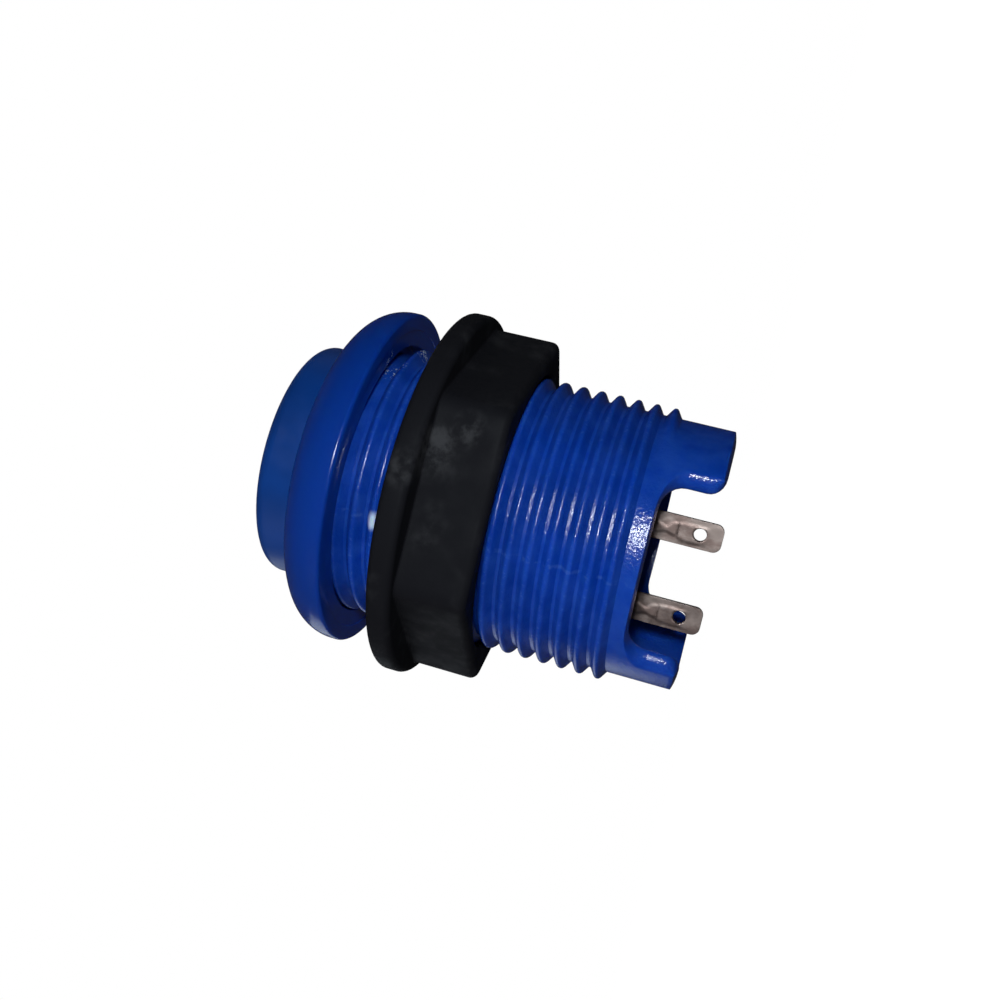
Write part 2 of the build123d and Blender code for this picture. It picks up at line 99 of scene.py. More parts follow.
class HousingSizes(bpy.types.PropertyGroup):
    """Sizes of the blue housing: bezel, threaded barrel, legs and bores"""

    bezel_radius: length("Bezel radius", "Outer radius of the bezel", housing_high[0])
    bezel_height: length("Bezel height", "Height of the bezel over the panel", housing_high[2])
    bezel_round: length("Bezel round", "Radius of the bezel's front edge", 4.2 * MM)
    bezel_back_round: length("Bezel back round", "Radius of the bezel's rear edge", 0.35 * MM)
    lip_round: length("Lip round", "Radius on the well's front edge", 0.3 * MM)
    seat_radius: length("Seat radius", "Inner radius of the flat ring that seats on the panel", 15.7 * MM)
    seat_step: length("Seat step", "Height of the step inside the seat", 0.12 * MM)
    groove_radius: length("Groove radius", "Outer radius of the groove that frees the thread", 14.04 * MM)
    groove_depth: length("Groove depth", "Depth of the groove that frees the thread", 1.7 * MM)
    neck_round: length("Neck round", "Radius where the groove meets the barrel", 0.1 * MM)
    edge_break: length("Edge break", "Small radius on the groove's and the bores' edges", 0.15 * MM)
    barrel_radius: length("Barrel radius", "Root radius of the threaded barrel", 13.0 * MM)
    barrel_length: length("Barrel length", "From the panel seat to the leg tips", -housing_low[2])
    thread_depth: length("Thread depth", "Height of the thread's crest over its root", 0.9 * MM)
    thread_crest: length("Thread crest", "Height of the crest's rounded part", 0.22 * MM)
    thread_pitch: length("Thread pitch", "Rise of the thread in one turn", 1.86 * MM)
    thread_foot: length("Thread foot", "Half the width of the ridge at its root", 0.78 * MM)
    thread_land: length("Thread land", "Half the width of the ridge under its rounded crest", 0.3 * MM)
    thread_tail: length("Thread tail", "Height of the first crest at the leg's middle", -27.11 * MM)
    notch_width: length("Notch width", "Clear width of the rear notches", 15.5 * MM)
    notch_depth: length("Notch depth", "Depth of the rear notches", 5.3 * MM)
    notch_round: length("Notch round", "Radius in the notch's corners", 2.0 * MM)
    tip_round: length("Leg tip round", "Radius on the leg's tip", 1.5 * MM)
    edge_round: length("Edge round", "Drop of the rounding along the legs' outer edges", 1.55 * MM)
    edge_reach: length("Edge reach", "Width of the rounding along the legs' outer edges", 1.9 * MM)
    inner_round: length("Inner edge round", "Radius along the legs' inner edges", 0.25 * MM)
    well_radius: length("Well radius", "Radius of the well around the cap", 12.35 * MM)
    well_floor: length("Well floor", "Height of the well's floor", 0.5 * MM)
    guide_radius: length("Guide radius", "Radius of the plunger's guide bore", 10.48 * MM)
    chamber_radius: length("Chamber radius", "Radius of the switch chamber", 11.2 * MM)
    web_top: length("Web top", "Height of the web's upper face", -8.6 * MM)
    web_thickness: length("Web thickness", "Thickness of the web under the spring", 1.5 * MM)
    boss_radius: length("Boss radius", "Radius of the spring's boss on the web", 4.0 * MM)
    boss_height: length("Boss height", "Height of the spring's boss", 1.2 * MM)
    stem_bore: length("Stem bore", "Radius of the bore for the plunger's stem", 2.38 * MM)
    window_inner: length("Window inner radius", "Inner radius of the windows for the snap legs", 8.7 * MM)
    window_angle: bearing("Window angle", "Half the angle of a window for the snap legs", 15.4)
    parting_angle: bearing("Parting angle", "Angle of the mould's parting line", -95.0)


class HolderSizes(bpy.types.PropertyGroup):
    """Sizes of the stops, ribs and bumps that hold the switch in the housing"""

    gap: length("Gap", "Room between the switch and its holders", 0.1 * MM)
    bite: length("Bite", "How far the holders reach into the chamber's wall", 0.2 * MM)
    stop_half: length("Stop half width", "Half the width of a stop or a bump", 2.6 * MM)
    stop_height: length("Stop height", "Height of the stops over the cover's foot", 4.0 * MM)
    rib_width: length("Rib width", "Width of a rib", 1.1 * MM)
    rib_reach: length("Rib reach", "How far a rib reaches in over the switch's end", 1.8 * MM)
    bump_reach: length("Bump reach", "How far a bump reaches in under the switch", 1.0 * MM)
    bump_drop: length("Bump drop", "Height of a bump at the wall", 1.8 * MM)


class NutSizes(bpy.types.PropertyGroup):
    """Sizes of the black lock nut"""

    flange_radius: length("Flange radius", "Outer radius of the round flange", nut_high[0])
    flange_thickness: length("Flange thickness", "Thickness of the flange", 2.4 * MM)
    flange_round: length("Flange round", "Radius on the flange's edges", 0.7 * MM)
    flange_fillet: length("Flange fillet", "Radius where the grip meets the flange", 0.25 * MM)
    front: length("Front face", "Height of the nut's front face", nut_high[2])
    rear: length("Rear face", "Height of the nut's rear face", nut_low[2])
    flat_radius: length("Flat radius", "Distance of the grip's flats from the axis", 15.5 * MM)
    corner_round: length("Corner round", "Radius on the grip's corners", 2.0 * MM)
    rear_round: length("Rear round", "Radius on the grip's rear edge", 0.8 * MM)
    bore_chamfer: length("Bore chamfer", "Chamfer at both mouths of the bore", 0.25 * MM)
    bore_radius: length("Bore radius", "Radius of the bore over the thread", 14.15 * MM)
    groove_depth: length("Groove depth", "Depth of the thread groove in the bore", 0.35 * MM)
    sides: IntProperty(name="Sides", description="Number of flats on the grip", default=6)
    turn: bearing("Turn", "Angle of the first corner", -51.0)


class TabSizes(bpy.types.PropertyGroup):
    """Sizes of the two plated terminals"""

    width: length("Tab width", "Width of a tab", 2.8 * MM)
    thickness: length("Tab thickness", "Thickness of the strip", 0.5 * MM)
    plane: length("Tab plane", "Place of the strip's middle across the switch", -1.5 * MM)
    corner_round: length("Corner round", "Radius on the tab's corners", 0.8 * MM)
    hole_radius: length("Hole radius", "Radius of the wire hole", 0.63 * MM)
    hole_inset: length("Hole inset", "From the tab's end to the hole's middle", 2.2 * MM)
    edge_round: length("Edge round", "Radius along the punched edges", 0.12 * MM)
    tongue: length("Tongue", "Height of the embossed tongue between the base and the hole", 0.055 * MM)


class SpringSizes(bpy.types.PropertyGroup):
    """Sizes of the two coil springs"""

    return_radius: length("Return spring radius", "Radius to the middle of the wire", 4.7 * MM)
    return_wire: length("Return spring wire", "Thickness of the wire", 0.7 * MM)
    return_turns: FloatProperty(name="Return spring turns", description="Number of turns", default=6.5)
    blade_radius: length("Blade spring radius", "Radius to the middle of the wire", 0.95 * MM)
    blade_wire: length("Blade spring wire", "Thickness of the wire", 0.26 * MM)
    blade_turns: FloatProperty(name="Blade spring turns", description="Number of turns", default=4.0)
    blade_slack: length("Blade spring slack", "Room over the coil for the blade to rock", 0.14 * MM)


class Finishes(bpy.types.PropertyGroup):
    """Colours of the pieces"""

    housing: colour("Housing", "Blue of the housing", (0.0025, 0.046, 0.36))
    plunger: colour("Plunger", "Blue of the cap", (0.003, 0.043, 0.235))
    nut: colour("Nut", "Black of the lock nut", (0.0085, 0.0085, 0.0108))
    # Dust colour, also used for the painted highlight on the nut's flange rim
    dust_and_highlight: colour("Dust", "Rubbed grey on the nut", (0.04, 0.04, 0.044))
    scuff: colour("Scuff", "Rubbed plastic on the thread", (0.08, 0.19, 0.55))
    # Scrape colour, also used for the painted glint at the front of the thread
    scrape_and_glint: colour("Scrape", "Whitened plastic where the thread was scraped", (0.55, 0.66, 0.86))
    plating: colour("Plating", "Dull nickel on the tabs", (0.45, 0.355, 0.32))
    tarnish: colour("Tarnish", "Brown tarnish on the tabs", (0.28, 0.2, 0.178))
    steel: colour("Steel", "Springs, lever and pin", (0.55, 0.55, 0.56))
    brass: colour("Brass", "Contact blade", (0.70, 0.49, 0.22))
    silver: colour("Silver", "Contact rivets", (0.78, 0.77, 0.74))
    switch: colour("Switch", "Black of the switch body", (0.02, 0.02, 0.022))
    switch_button: colour("Switch button", "Red-brown of the switch button", (0.30, 0.035, 0.025))
    floor: colour("Floor", "Pale floor", (0.92, 0.92, 0.92))


class StageSizes(bpy.types.PropertyGroup):
    """Camera and floor"""

    camera_place: FloatVectorProperty(
        name="Camera place", description="Where the camera stands", default=(0.02196, -0.10603, -0.03269),
        subtype="TRANSLATION", unit="LENGTH", precision=5,
    )
    camera_right: direction("Camera right", "The picture's way right", (0.20917, 0.22736, -0.95108))
    camera_back: direction("Camera back", "From the object to the camera", (0.19207, -0.96320, -0.18801))
    lens: film_length("Lens", "Focal length", 38.88)
    film_width: film_length("Film width", "Width of the picture inside the camera", 36.0)
    nearest: length("Nearest", "Distance from which the camera sees", 5.0 * MM)
    floor_height: length("Floor height", "Height of the floor", -75.0 * MM)
    floor_size: length("Floor size", "Side of the square floor", 3.0)


# Meshes


class Shell:
    """Points and faces of a piece while it is built."""

    def __init__(self):
        self.points, self.faces = [], []

    def point(self, place):
        """Adds a point and returns its number."""
        self.points.append(place)
        return len(self.points) - 1

    def row(self, places):
        """Adds a row of points and returns their numbers."""
        return [self.point(place) for place in places]

    def quad(self, first, second, i, j):
        """Face between two rows of point numbers."""
        self.faces.append((first[i], first[j], second[j], second[i]))

    def bridge(self, first, second, closed=True):
        """Faces all along two rows of point numbers."""
        count = len(first)
        for i in range(count if closed else count - 1):
            self.quad(first, second, i, (i + 1) % count)

    def stack(self, rows, closed=True):
        """Faces from each row to the next."""
        for first, second in zip(rows, rows[1:]):
            self.bridge(first, second, closed)

    def piece(self, name, material, sharp=35.0):
        """New smooth-shaded object, with edges kept sharp above an angle in degrees."""
        mesh = bpy.data.meshes.new(name)
        mesh.from_pydata(self.points, [], self.faces)
        work = bmesh.new()
        work.from_mesh(mesh)
        bmesh.ops.recalc_face_normals(work, faces=work.faces)
        work.to_mesh(mesh)
        work.free()
        mesh.polygons.foreach_set("use_smooth", [True] * len(mesh.polygons))
        mesh.set_sharp_from_angle(angle=radians(sharp))
        mesh.materials.append(material)
        piece = bpy.data.objects.new(name, mesh)
        bpy.context.scene.collection.objects.link(piece)
        return piece


def seat(piece, body, slot, *nodes):
    """Puts a piece on its body, with its material slot and the solids that it stands for."""
    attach(piece, body)
    if nodes:
        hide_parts(*nodes)


def polar(angle, radius, z):
    """Point at a polar angle."""
    return (radius * cos(angle), radius * sin(angle), z)


def smooth_step(value, low, high):
    """0 below low, 1 above high, and a smooth rise between."""
    t = min(max((value - low) / (high - low), 0.0), 1.0)
    return t * t * (3.0 - 2.0 * t)


def quarter_turn(steps):
    """Angles of a quarter turn in equal steps, with both ends."""
    return [pi / 2 * i / steps for i in range(steps + 1)]


def arc_rows(centre_r, centre_z, radius, start, end, steps):
    """(radius, height) rows along an arc in the half-section, angles in degrees."""
    turns = [radians(start + (end - start) * i / steps) for i in range(steps + 1)]
    return [(centre_r + radius * cos(t), centre_z + radius * sin(t)) for t in turns]


# Housing

# Steps along a quarter of the rear edge: leg's tip, tip's corner, notch's wall, fillet and notch's floor
TIP, ROUND, WALL, FILLET, FLOOR = 26, 6, 8, 6, 18
# Share of the edge's rounding that is left on the leg's tip and on the notch's floor
TIP_SHARE, FLOOR_SHARE = 0.2, 0.12
SMALLEST_CORNER = 0.1 * MM
# Slope and turn of a leg's outer edge, as shares of its width and drop
EDGE = (
    (0.92, 0.01), (0.84, 0.04), (0.76, 0.085), (0.66, 0.16), (0.53, 0.265), (0.395, 0.39), (0.26, 0.535),
    (0.155, 0.67), (0.08, 0.79), (0.025, 0.9), (0.0, 1.0),
)
# Turns of a leg's inner edge
INNER_EDGE = (0.0, pi / 6, pi / 3)
# Angle at which each turn of the thread's rows begins
SEAM = radians(-40.0)
# Where the thread rises and fades, in turns from its start and from its end
RUN_IN, RUN_OUT = (0.01, 0.11), (-0.06, -0.005)
# Straight share of a thread's flank, the rest is a soft curve
STRAIGHT = 0.65
# Places of the thread's rows, as shares of its foot and of its land
FOOT_ROWS, LAND_ROWS = (1.0, 0.82), (1.12, 0.88, 0.5)
# Rows between the thread and the notches, down the chamber's end and up the well
SKIRT_ROWS, CHAMBER_ROWS, WELL_ROWS = 10, 4, 5
# Height of the chamber's end over the notches' corners
CHAMBER_END = 3.0 * MM


def leg_edge(sizes, radius, inset):
    """Quarter of the rear edge on a cylinder, from a leg's middle to a notch's, as (angle, height).

    inset draws the edge back from the moulding's outline, to leave room for a rounded edge. The edge is
    rounded fully along the leg's sides, and less on its tip and on the notch's floor."""
    tip_inset, floor_inset = TIP_SHARE * inset, FLOOR_SHARE * inset
    half = sizes.notch_width / 2
    corner = max(sizes.tip_round - inset, SMALLEST_CORNER)
    tip_x, tip_z = half + inset + corner, -sizes.barrel_length
    tip_centre = tip_z + sizes.tip_round
    floor_z = tip_z + sizes.notch_depth
    fillet_x, fillet_centre = half - sizes.notch_round, floor_z - sizes.notch_round
    edge = []
    for i in range(TIP):
        edge.append((acos(tip_x / radius) * i / TIP, tip_z + tip_inset))
    for turn in quarter_turn(ROUND)[:-1]:
        z = tip_centre - (sizes.tip_round - tip_inset) * cos(turn)
        edge.append((acos((tip_x - corner * sin(turn)) / radius), z))
    for i in range(WALL):
        edge.append((acos((half + inset) / radius), tip_centre + (fillet_centre - tip_centre) * i / WALL))
    for turn in quarter_turn(FILLET)[:-1]:
        z = fillet_centre + (sizes.notch_round + floor_inset) * sin(turn)
        edge.append((acos((fillet_x + (sizes.notch_round + inset) * cos(turn)) / radius), z))
    low = acos(fillet_x / radius)
    for i in range(FLOOR + 1):
        edge.append((low + (pi / 2 - low) * i / FLOOR, floor_z + floor_inset))
    return edge


def rear_edge(sizes, radius, inset):
    """Whole rear edge, once round from the +X leg's middle, as (angle, height)."""
    quarter = leg_edge(sizes, radius, inset)
    loop = []
    for k in range(4):
        if k % 2 == 0:
            loop += [(k * pi / 2 + angle, z) for angle, z in quarter[:-1]]
        else:
            loop += [((k + 1) * pi / 2 - angle, z) for angle, z in quarter[:0:-1]]
    return loop


def edge_columns():
    """For each point of the rear edge: its column and its step on the notch's wall, or None off the wall."""
    quarter = [None] * (TIP + ROUND) + list(range(WALL + 1)) + [None] * (FILLET + FLOOR)
    steps = []
    for k in range(4):
        steps += quarter[:-1] if k % 2 == 0 else quarter[:0:-1]
    columns, column = [], -1
    for i, step in enumerate(steps):
        if i == 0 or step is None or steps[i - 1] is None:
            column += 1
        columns.append((column, step))
    return columns


def thread_height(sizes, offset):
    """Height of the thread's ridge at a distance from its crest line."""
    land, foot, crest = sizes.thread_land, sizes.thread_foot, sizes.thread_crest
    away = abs(offset)
    if away >= foot:
        return 0.0
    if away >= land:
        share = (foot - away) / (foot - land)
        flank = STRAIGHT * share + (1.0 - STRAIGHT) * smooth_step(share, 0.0, 1.0)
        return (sizes.thread_depth - crest) * flank
    radius = (land**2 + crest**2) / (2 * crest)
    return sizes.thread_depth - radius + sqrt(radius**2 - away**2)


def thread_offsets(sizes):
    """Distances from the crest line of one turn's rows, from one root to the next."""
    land, foot = sizes.thread_land, sizes.thread_foot
    side = [sizes.thread_pitch / 2, *(foot * share for share in FOOT_ROWS)]
    side += [(foot + land) / 2, *(land * share for share in LAND_ROWS)]
    return [-away for away in side] + [0.0] + side[:0:-1]


def bezel_profile(sizes):
    """Half-section of the bezel, from the well's lip round the outside to the barrel, as (radius, height)."""
    lip, front, back = sizes.lip_round, sizes.bezel_round, sizes.bezel_back_round
    step, soft, neck = sizes.seat_step / 2, sizes.edge_break, sizes.neck_round
    arcs = (
        (sizes.well_radius + lip, sizes.bezel_height - lip, lip, 180, 90, 4),
        (sizes.bezel_radius - front, sizes.bezel_height - front, front, 90, 0, 20),
        (sizes.bezel_radius - back, back, back, 0, -90, 8),
        (sizes.seat_radius + step, step, step, 270, 180, 4),
        (sizes.seat_radius - step, step, step, 0, 90, 4),
        (sizes.groove_radius + soft, sizes.seat_step + soft, soft, 270, 180, 3),
        (sizes.groove_radius - soft, sizes.groove_depth - soft, soft, 0, 90, 3),
        (sizes.barrel_radius + neck, sizes.groove_depth - neck, neck, 90, 180, 3),
    )
    profile = [row for arc in arcs for row in arc_rows(*arc)]
    return profile[1:]


class HousingShell(Shell):
    """Mesh of the housing, on columns that follow the rear edge of its legs and notches."""

    def __init__(self, sizes):
        super().__init__()
        self.sizes = sizes
        self.outer_edge = rear_edge(sizes, sizes.barrel_radius, sizes.edge_reach)
        self.inner_edge = rear_edge(sizes, sizes.chamber_radius, sizes.inner_round)
        self.columns = edge_columns()
        self.count = self.columns[-1][0] + 1
        self.outer, self.inner = [0.0] * self.count, [0.0] * self.count
        self.on_leg, self.on_wall = [False] * self.count, [False] * self.count
        self.fillet_centre = -sizes.barrel_length + sizes.notch_depth - sizes.notch_round
        for (column, step), (outer, z), (inner, _) in zip(self.columns, self.outer_edge, self.inner_edge):
            self.outer[column], self.inner[column] = outer, inner
            if step is not None:
                self.on_wall[column] = True
            if step is not None or z < self.fillet_centre:
                self.on_leg[column] = True
        self.neighbours = [(c, (c + 1) % self.count) for c in range(self.count)]
        # Order of the columns along the thread, from its seam round to the last column before it
        self.seam = min(range(self.count), key=lambda c: abs((self.outer[c] - SEAM + pi) % tau - pi))
        self.order = [(self.seam + i) % self.count for i in range(self.count)]
        self.last = self.order[-1]
        self.offsets = thread_offsets(sizes)

    def ring(self, radius, z, share=1.0):
        """Row of points all round; share goes from the bore's columns at 0 to the barrel's at 1."""
        return self.row(polar(a + (b - a) * share, radius, z) for a, b in zip(self.inner, self.outer))

    def along_thread(self, first, second):
        """Faces between two rows, from the thread's seam round to the last column."""
        for a, b in zip(self.order, self.order[1:]):
            self.quad(first, second, a, b)

    def thread(self):
        """Screw thread, on rows that follow the helix from the seam round to it again. Returns the rows."""
        sizes, outer, seam, last = self.sizes, self.outer, self.seam, self.last
        turns = floor((sizes.groove_depth - sizes.thread_tail) / sizes.thread_pitch)
        first = (outer[seam] - tau) / tau if outer[seam] > pi else outer[seam] / tau
        per_turn = len(self.offsets)
        grid = []
        for i in range(turns * per_turn + 1):
            turn, row = divmod(i, per_turn)
            ridge = thread_height(sizes, self.offsets[row])
            line = [0] * self.count
            for column in self.order:
                along = turn + (outer[column] - outer[seam]) % tau / tau
                z = sizes.thread_tail + (first + along) * sizes.thread_pitch + self.offsets[row]
                size = smooth_step(along, *RUN_IN) * (1.0 - smooth_step(along - turns, *RUN_OUT))
                line[column] = self.point(polar(outer[column], sizes.barrel_radius + size * ridge, z))
            grid.append(line)
        for low, high in zip(grid, grid[1:]):
            self.along_thread(low, high)
        for low, high, low_on, high_on in zip(grid, grid[1:], grid[per_turn:], grid[per_turn + 1 :]):
            self.faces.append((low[last], low_on[seam], high_on[seam], high[last]))
        return grid

    def skirt(self, top, angles, radius, edge, rows, heights):
        """Wall from a top row down to the notches and down both legs. Returns its rows and its rim."""
        ends = [0.0] * self.count
        for (column, step), (_, z) in zip(self.columns, edge):
            if not self.on_wall[column] or step == 0:
                ends[column] = z
        middle = [self.fillet_centre if leg else end for leg, end in zip(self.on_leg, ends)]
        lines = [top]
        for i in range(1, rows + 1):
            steps = [high + (low - high) * i / rows for high, low in zip(heights, middle)]
            lines.append(self.row(polar(angle, radius, z) for angle, z in zip(angles, steps)))
        legs = [lines[-1]]
        for i in range(1, WALL + 1):
            line = [None] * self.count
            for c in range(self.count):
                if self.on_leg[c]:
                    z = middle[c] + (ends[c] - middle[c]) * i / WALL
                    line[c] = self.point(polar(angles[c], radius, z))
            legs.append(line)
        for low, high in zip(legs, legs[1:]):
            for c, d in self.neighbours:
                if self.on_leg[c] and self.on_leg[d]:
                    self.quad(low, high, c, d)
        rim = []
        for column, step in self.columns:
            if step is not None:
                rim.append(legs[WALL - step][column])
            elif self.on_leg[column]:
                rim.append(legs[WALL][column])
            else:
                rim.append(lines[-1][column])
        return lines, rim

    def barrel_end(self, grid):
        """Barrel from the thread down to the notches and the leg tips. Returns its rim."""
        heights = [self.points[number][2] for number in grid[0]]
        radius = self.sizes.barrel_radius
        lines, rim = self.skirt(grid[0], self.outer, radius, self.outer_edge, SKIRT_ROWS, heights)
        self.stack(lines[1:])
        self.along_thread(lines[0], lines[1])
        step_up = [line[self.seam] for line in grid[: len(self.offsets) + 1]]
        self.faces.append((lines[0][self.last], lines[1][self.last], lines[1][self.seam], *step_up))
        return rim

    def chamber_end(self):
        """Inner wall of the chamber, down to the same edge. Returns its top row and its rim."""
        radius, start = self.sizes.chamber_radius, self.fillet_centre + CHAMBER_END
        top = self.ring(radius, start, 0.0)
        heights = [start] * self.count
        lines, rim = self.skirt(top, self.inner, radius, self.inner_edge, CHAMBER_ROWS, heights)
        self.stack(lines)
        return top, rim

    def rounded_rim(self, outer_rim, inner_rim):
        """Sloped and rounded rim of the legs and notches, between the two walls."""
        sizes, inside = self.sizes, self.sizes.inner_round
        rounds = [
            (sizes.barrel_radius - sizes.edge_round * drop, sizes.edge_reach * width) for width, drop in EDGE
        ]
        for turn in INNER_EDGE:
            rounds.append((sizes.chamber_radius + inside * (1 - sin(turn)), inside * (1 - cos(turn))))
        loops = [outer_rim]
        for radius, inset in rounds:
            loops.append(self.row(polar(angle, radius, z) for angle, z in rear_edge(sizes, radius, inset)))
        self.stack([*loops, inner_rim])

    def core(self, chamber_top):
        """Chamber, web with its boss and windows, guide bore, well and bezel. Returns the last row."""
        sizes, soft = self.sizes, self.sizes.edge_break
        web_top, web_low = sizes.web_top, sizes.web_top - sizes.web_thickness
        boss_top, well_floor = web_top + sizes.boss_height, sizes.well_floor
        chamber_middle = 1.6 * web_low
        inside = [
            (sizes.chamber_radius, chamber_middle), (sizes.chamber_radius, web_low),
            (sizes.guide_radius, web_low), (sizes.window_inner, web_low),
            (sizes.stem_bore + soft, web_low), (sizes.stem_bore, web_low + soft),
            (sizes.stem_bore, boss_top - soft), (sizes.stem_bore + soft, boss_top),
            (sizes.boss_radius - soft, boss_top), (sizes.boss_radius, boss_top - soft),
            (sizes.boss_radius, web_top), (sizes.window_inner, web_top),
            (sizes.guide_radius, web_top), (sizes.guide_radius, well_floor - soft),
            (sizes.guide_radius + soft, well_floor), (sizes.well_radius - soft, well_floor),
        ]
        rows = [chamber_top] + [self.ring(radius, z, 0.0) for radius, z in inside]
        under = rows[1 + inside.index((sizes.guide_radius, web_low)) :][:2]
        over = rows[1 + inside.index((sizes.window_inner, web_top)) :][:2]
        well_low, well_high = well_floor + soft, sizes.bezel_height - sizes.lip_round
        for i in range(WELL_ROWS + 1):
            share = i / WELL_ROWS
            rows.append(self.ring(sizes.well_radius, well_low + (well_high - well_low) * share, share))
        rows += [self.ring(radius, z) for radius, z in bezel_profile(sizes)]
        for low, high in zip(rows, rows[1:]):
            if low not in (under[0], over[0]):
                self.bridge(low, high)
        self.windows(under, over)
        return rows[-1]

    def windows(self, under, over):
        """Ring of the web with its two windows; under and over hold the edges of its lower and upper face."""
        near = [min(abs(a - pi / 2), abs(a - 3 * pi / 2)) < self.sizes.window_angle for a in self.inner]
        for c, d in self.neighbours:
            if near[c] and near[d]:
                self.quad(under[0], over[1], c, d)
                self.quad(under[1], over[0], c, d)
                continue
            self.quad(*under, c, d)
            self.quad(*over, c, d)
            if near[c] or near[d]:
                edge = c if near[c] else d
                self.faces.append(tuple(row[edge] for row in (*under, *over)))

    def close_neck(self, grid, neck):
        """Faces from the thread's last row to the barrel's neck under the bezel."""
        self.along_thread(grid[-1], neck)
        step_down = [line[self.last] for line in grid[-1 - len(self.offsets) :]]
        self.faces.append((neck[self.last], neck[self.seam], grid[-1][self.seam], *step_down))


def build_housing(sizes, material):
    """Bezel, barrel with its screw thread, legs, web and bores as one closed moulding."""
    shell = HousingShell(sizes)
    grid = shell.thread()
    outer_rim = shell.barrel_end(grid)
    chamber_top, inner_rim = shell.chamber_end()
    shell.rounded_rim(outer_rim, inner_rim)
    neck = shell.core(chamber_top)
    shell.close_neck(grid, neck)
    return shell.piece("housing_moulding", material)


# Switch holders

# Steps of a holder along the chamber's round wall
WALL_STEPS = 6


def prism(shell, outline, base, top):
    """Closed prism from an outline of (x, y) points between two heights."""
    low, high = [shell.row((x, y, z) for x, y in outline) for z in (base, top)]
    shell.bridge(low, high)
    shell.faces.extend((tuple(reversed(low)), tuple(high)))


def build_holders(sizes, chamber_radius, material):
    """Stops, ribs and snap bumps inside the chamber that hold the switch."""
    shell = Shell()
    base_low, base_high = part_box("switch_base")
    cover_low, cover_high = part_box("switch_cover")
    wall, top = chamber_radius + sizes.bite, cover_low[2] + sizes.stop_height
    gap, half, rib = sizes.gap, sizes.stop_half, sizes.rib_width

    def strip(x, y0, y1, side):
        """Outline from a flat at x out to the chamber's wall, between two places across."""
        steps = [y0 + (y1 - y0) * i / WALL_STEPS for i in range(WALL_STEPS + 1)]
        return [(side * x, y1), (side * x, y0)] + [(side * sqrt(wall**2 - y * y), y) for y in steps]

    bump = ((base_high[0] - sizes.bump_reach, 0.0), (wall, 0.0), (wall, -sizes.bump_drop))
    for side in (1, -1):
        prism(shell, strip(cover_high[0] + gap, -half, half, side), cover_low[2] + gap / 2, top)
        for y in (base_high[1] + gap, base_low[1] - gap - rib):
            prism(shell, strip(base_high[0] - sizes.rib_reach, y, y + rib, side), base_low[2], top)
        under = base_low[2] - gap / 2
        near, far = [shell.row((side * x, y, under + z) for x, z in bump) for y in (-half, half)]
        shell.bridge(near, far)
        shell.faces.extend((tuple(near), tuple(far)))
    return shell.piece("switch_holders", material)


# Lock nut

# Steps round a corner of the grip, along a flat, on the flange's edges, in its fillet and on the rear edge
CORNER_STEPS, FLAT_STEPS, FLANGE_STEPS, FILLET_STEPS, REAR_STEPS = 6, 18, 6, 3, 6
# Rows along the grip, as shares of its length, and number of rows in the bore
GRIP_ROWS, BORE_ROWS = (0.25, 0.5, 0.75), 48
SMALLEST_ROUND = 0.12 * MM


def grip_outline(sizes, inset):
    """Rounded polygon of the nut's grip, drawn in by inset, as (x, y) points."""
    rounding = max(sizes.corner_round - inset, SMALLEST_ROUND)
    centre = (sizes.flat_radius - inset - rounding) / cos(pi / sizes.sides)
    arcs = []
    for side in range(sizes.sides):
        corner = sizes.turn + tau * side / sizes.sides
        x, y = centre * cos(corner), centre * sin(corner)
        turns = [corner + (i / CORNER_STEPS - 0.5) * tau / sizes.sides for i in range(CORNER_STEPS + 1)]
        arcs.append([(x + rounding * cos(turn), y + rounding * sin(turn)) for turn in turns])
    outline = []
    for arc, following in zip(arcs, arcs[1:] + arcs[:1]):
        start, end = Vector(arc[-1]), Vector(following[0])
        outline += arc
        outline += [tuple(start.lerp(end, i / FLAT_STEPS)) for i in range(1, FLAT_STEPS)]
    return outline


def build_nut(sizes, pitch, material):
    """Round flange, six-sided grip and grooved bore."""
    shell = Shell()
    angles = [Vector(point).angle_signed(Vector((1.0, 0.0))) for point in grip_outline(sizes, 0.0)]
    front, rear, bore, chamfer = sizes.front, sizes.rear, sizes.bore_radius, sizes.bore_chamfer
    edge, fillet, rear_round = sizes.flange_round, sizes.flange_fillet, sizes.rear_round
    flange_rear = front - sizes.flange_thickness
    grip_top, grip_end = flange_rear - fillet, rear + rear_round

    def ring(radius, z):
        """Round row."""
        return shell.row(polar(angle, radius, z) for angle in angles)

    def grip(inset, z):
        """Row on the grip's flats and corners."""
        return shell.row((x, y, z) for x, y in grip_outline(sizes, inset))

    rows = [ring(bore, front - chamfer), ring(bore + chamfer, front)]
    rows.append(ring(sizes.flange_radius - 3 * edge, front))
    flange = arc_rows(sizes.flange_radius - edge, front - edge, edge, 90, 0, FLANGE_STEPS)
    flange += arc_rows(sizes.flange_radius - edge, flange_rear + edge, edge, 0, -90, FLANGE_STEPS)
    rows += [ring(radius, z) for radius, z in flange]
    for turn in quarter_turn(FILLET_STEPS):
        rows.append(grip(-fillet * (1 - sin(turn)), flange_rear - fillet * (1 - cos(turn))))
    rows += [grip(0.0, grip_top + (grip_end - grip_top) * share) for share in GRIP_ROWS]
    for turn in quarter_turn(REAR_STEPS):
        rows.append(grip(rear_round * (1 - cos(turn)), rear + rear_round * (1 - sin(turn))))
    rows += [ring(bore + chamfer, rear), ring(bore, rear + chamfer)]
    low, high = rear + chamfer, front - chamfer
    for i in range(1, BORE_ROWS):
        z = low + (high - low) * i / BORE_ROWS
        fade = smooth_step(z, low, low + pitch / 2) * (1 - smooth_step(z, high - pitch / 2, high))
        depth = sizes.groove_depth * fade
        waves = [0.5 - 0.5 * cos(tau * z / pitch - angle) for angle in angles]
        rows.append(shell.row(polar(angle, bore + depth * wave, z) for angle, wave in zip(angles, waves)))
    shell.stack([*rows, rows[0]])
    return shell.piece("lock_nut_moulding", material)


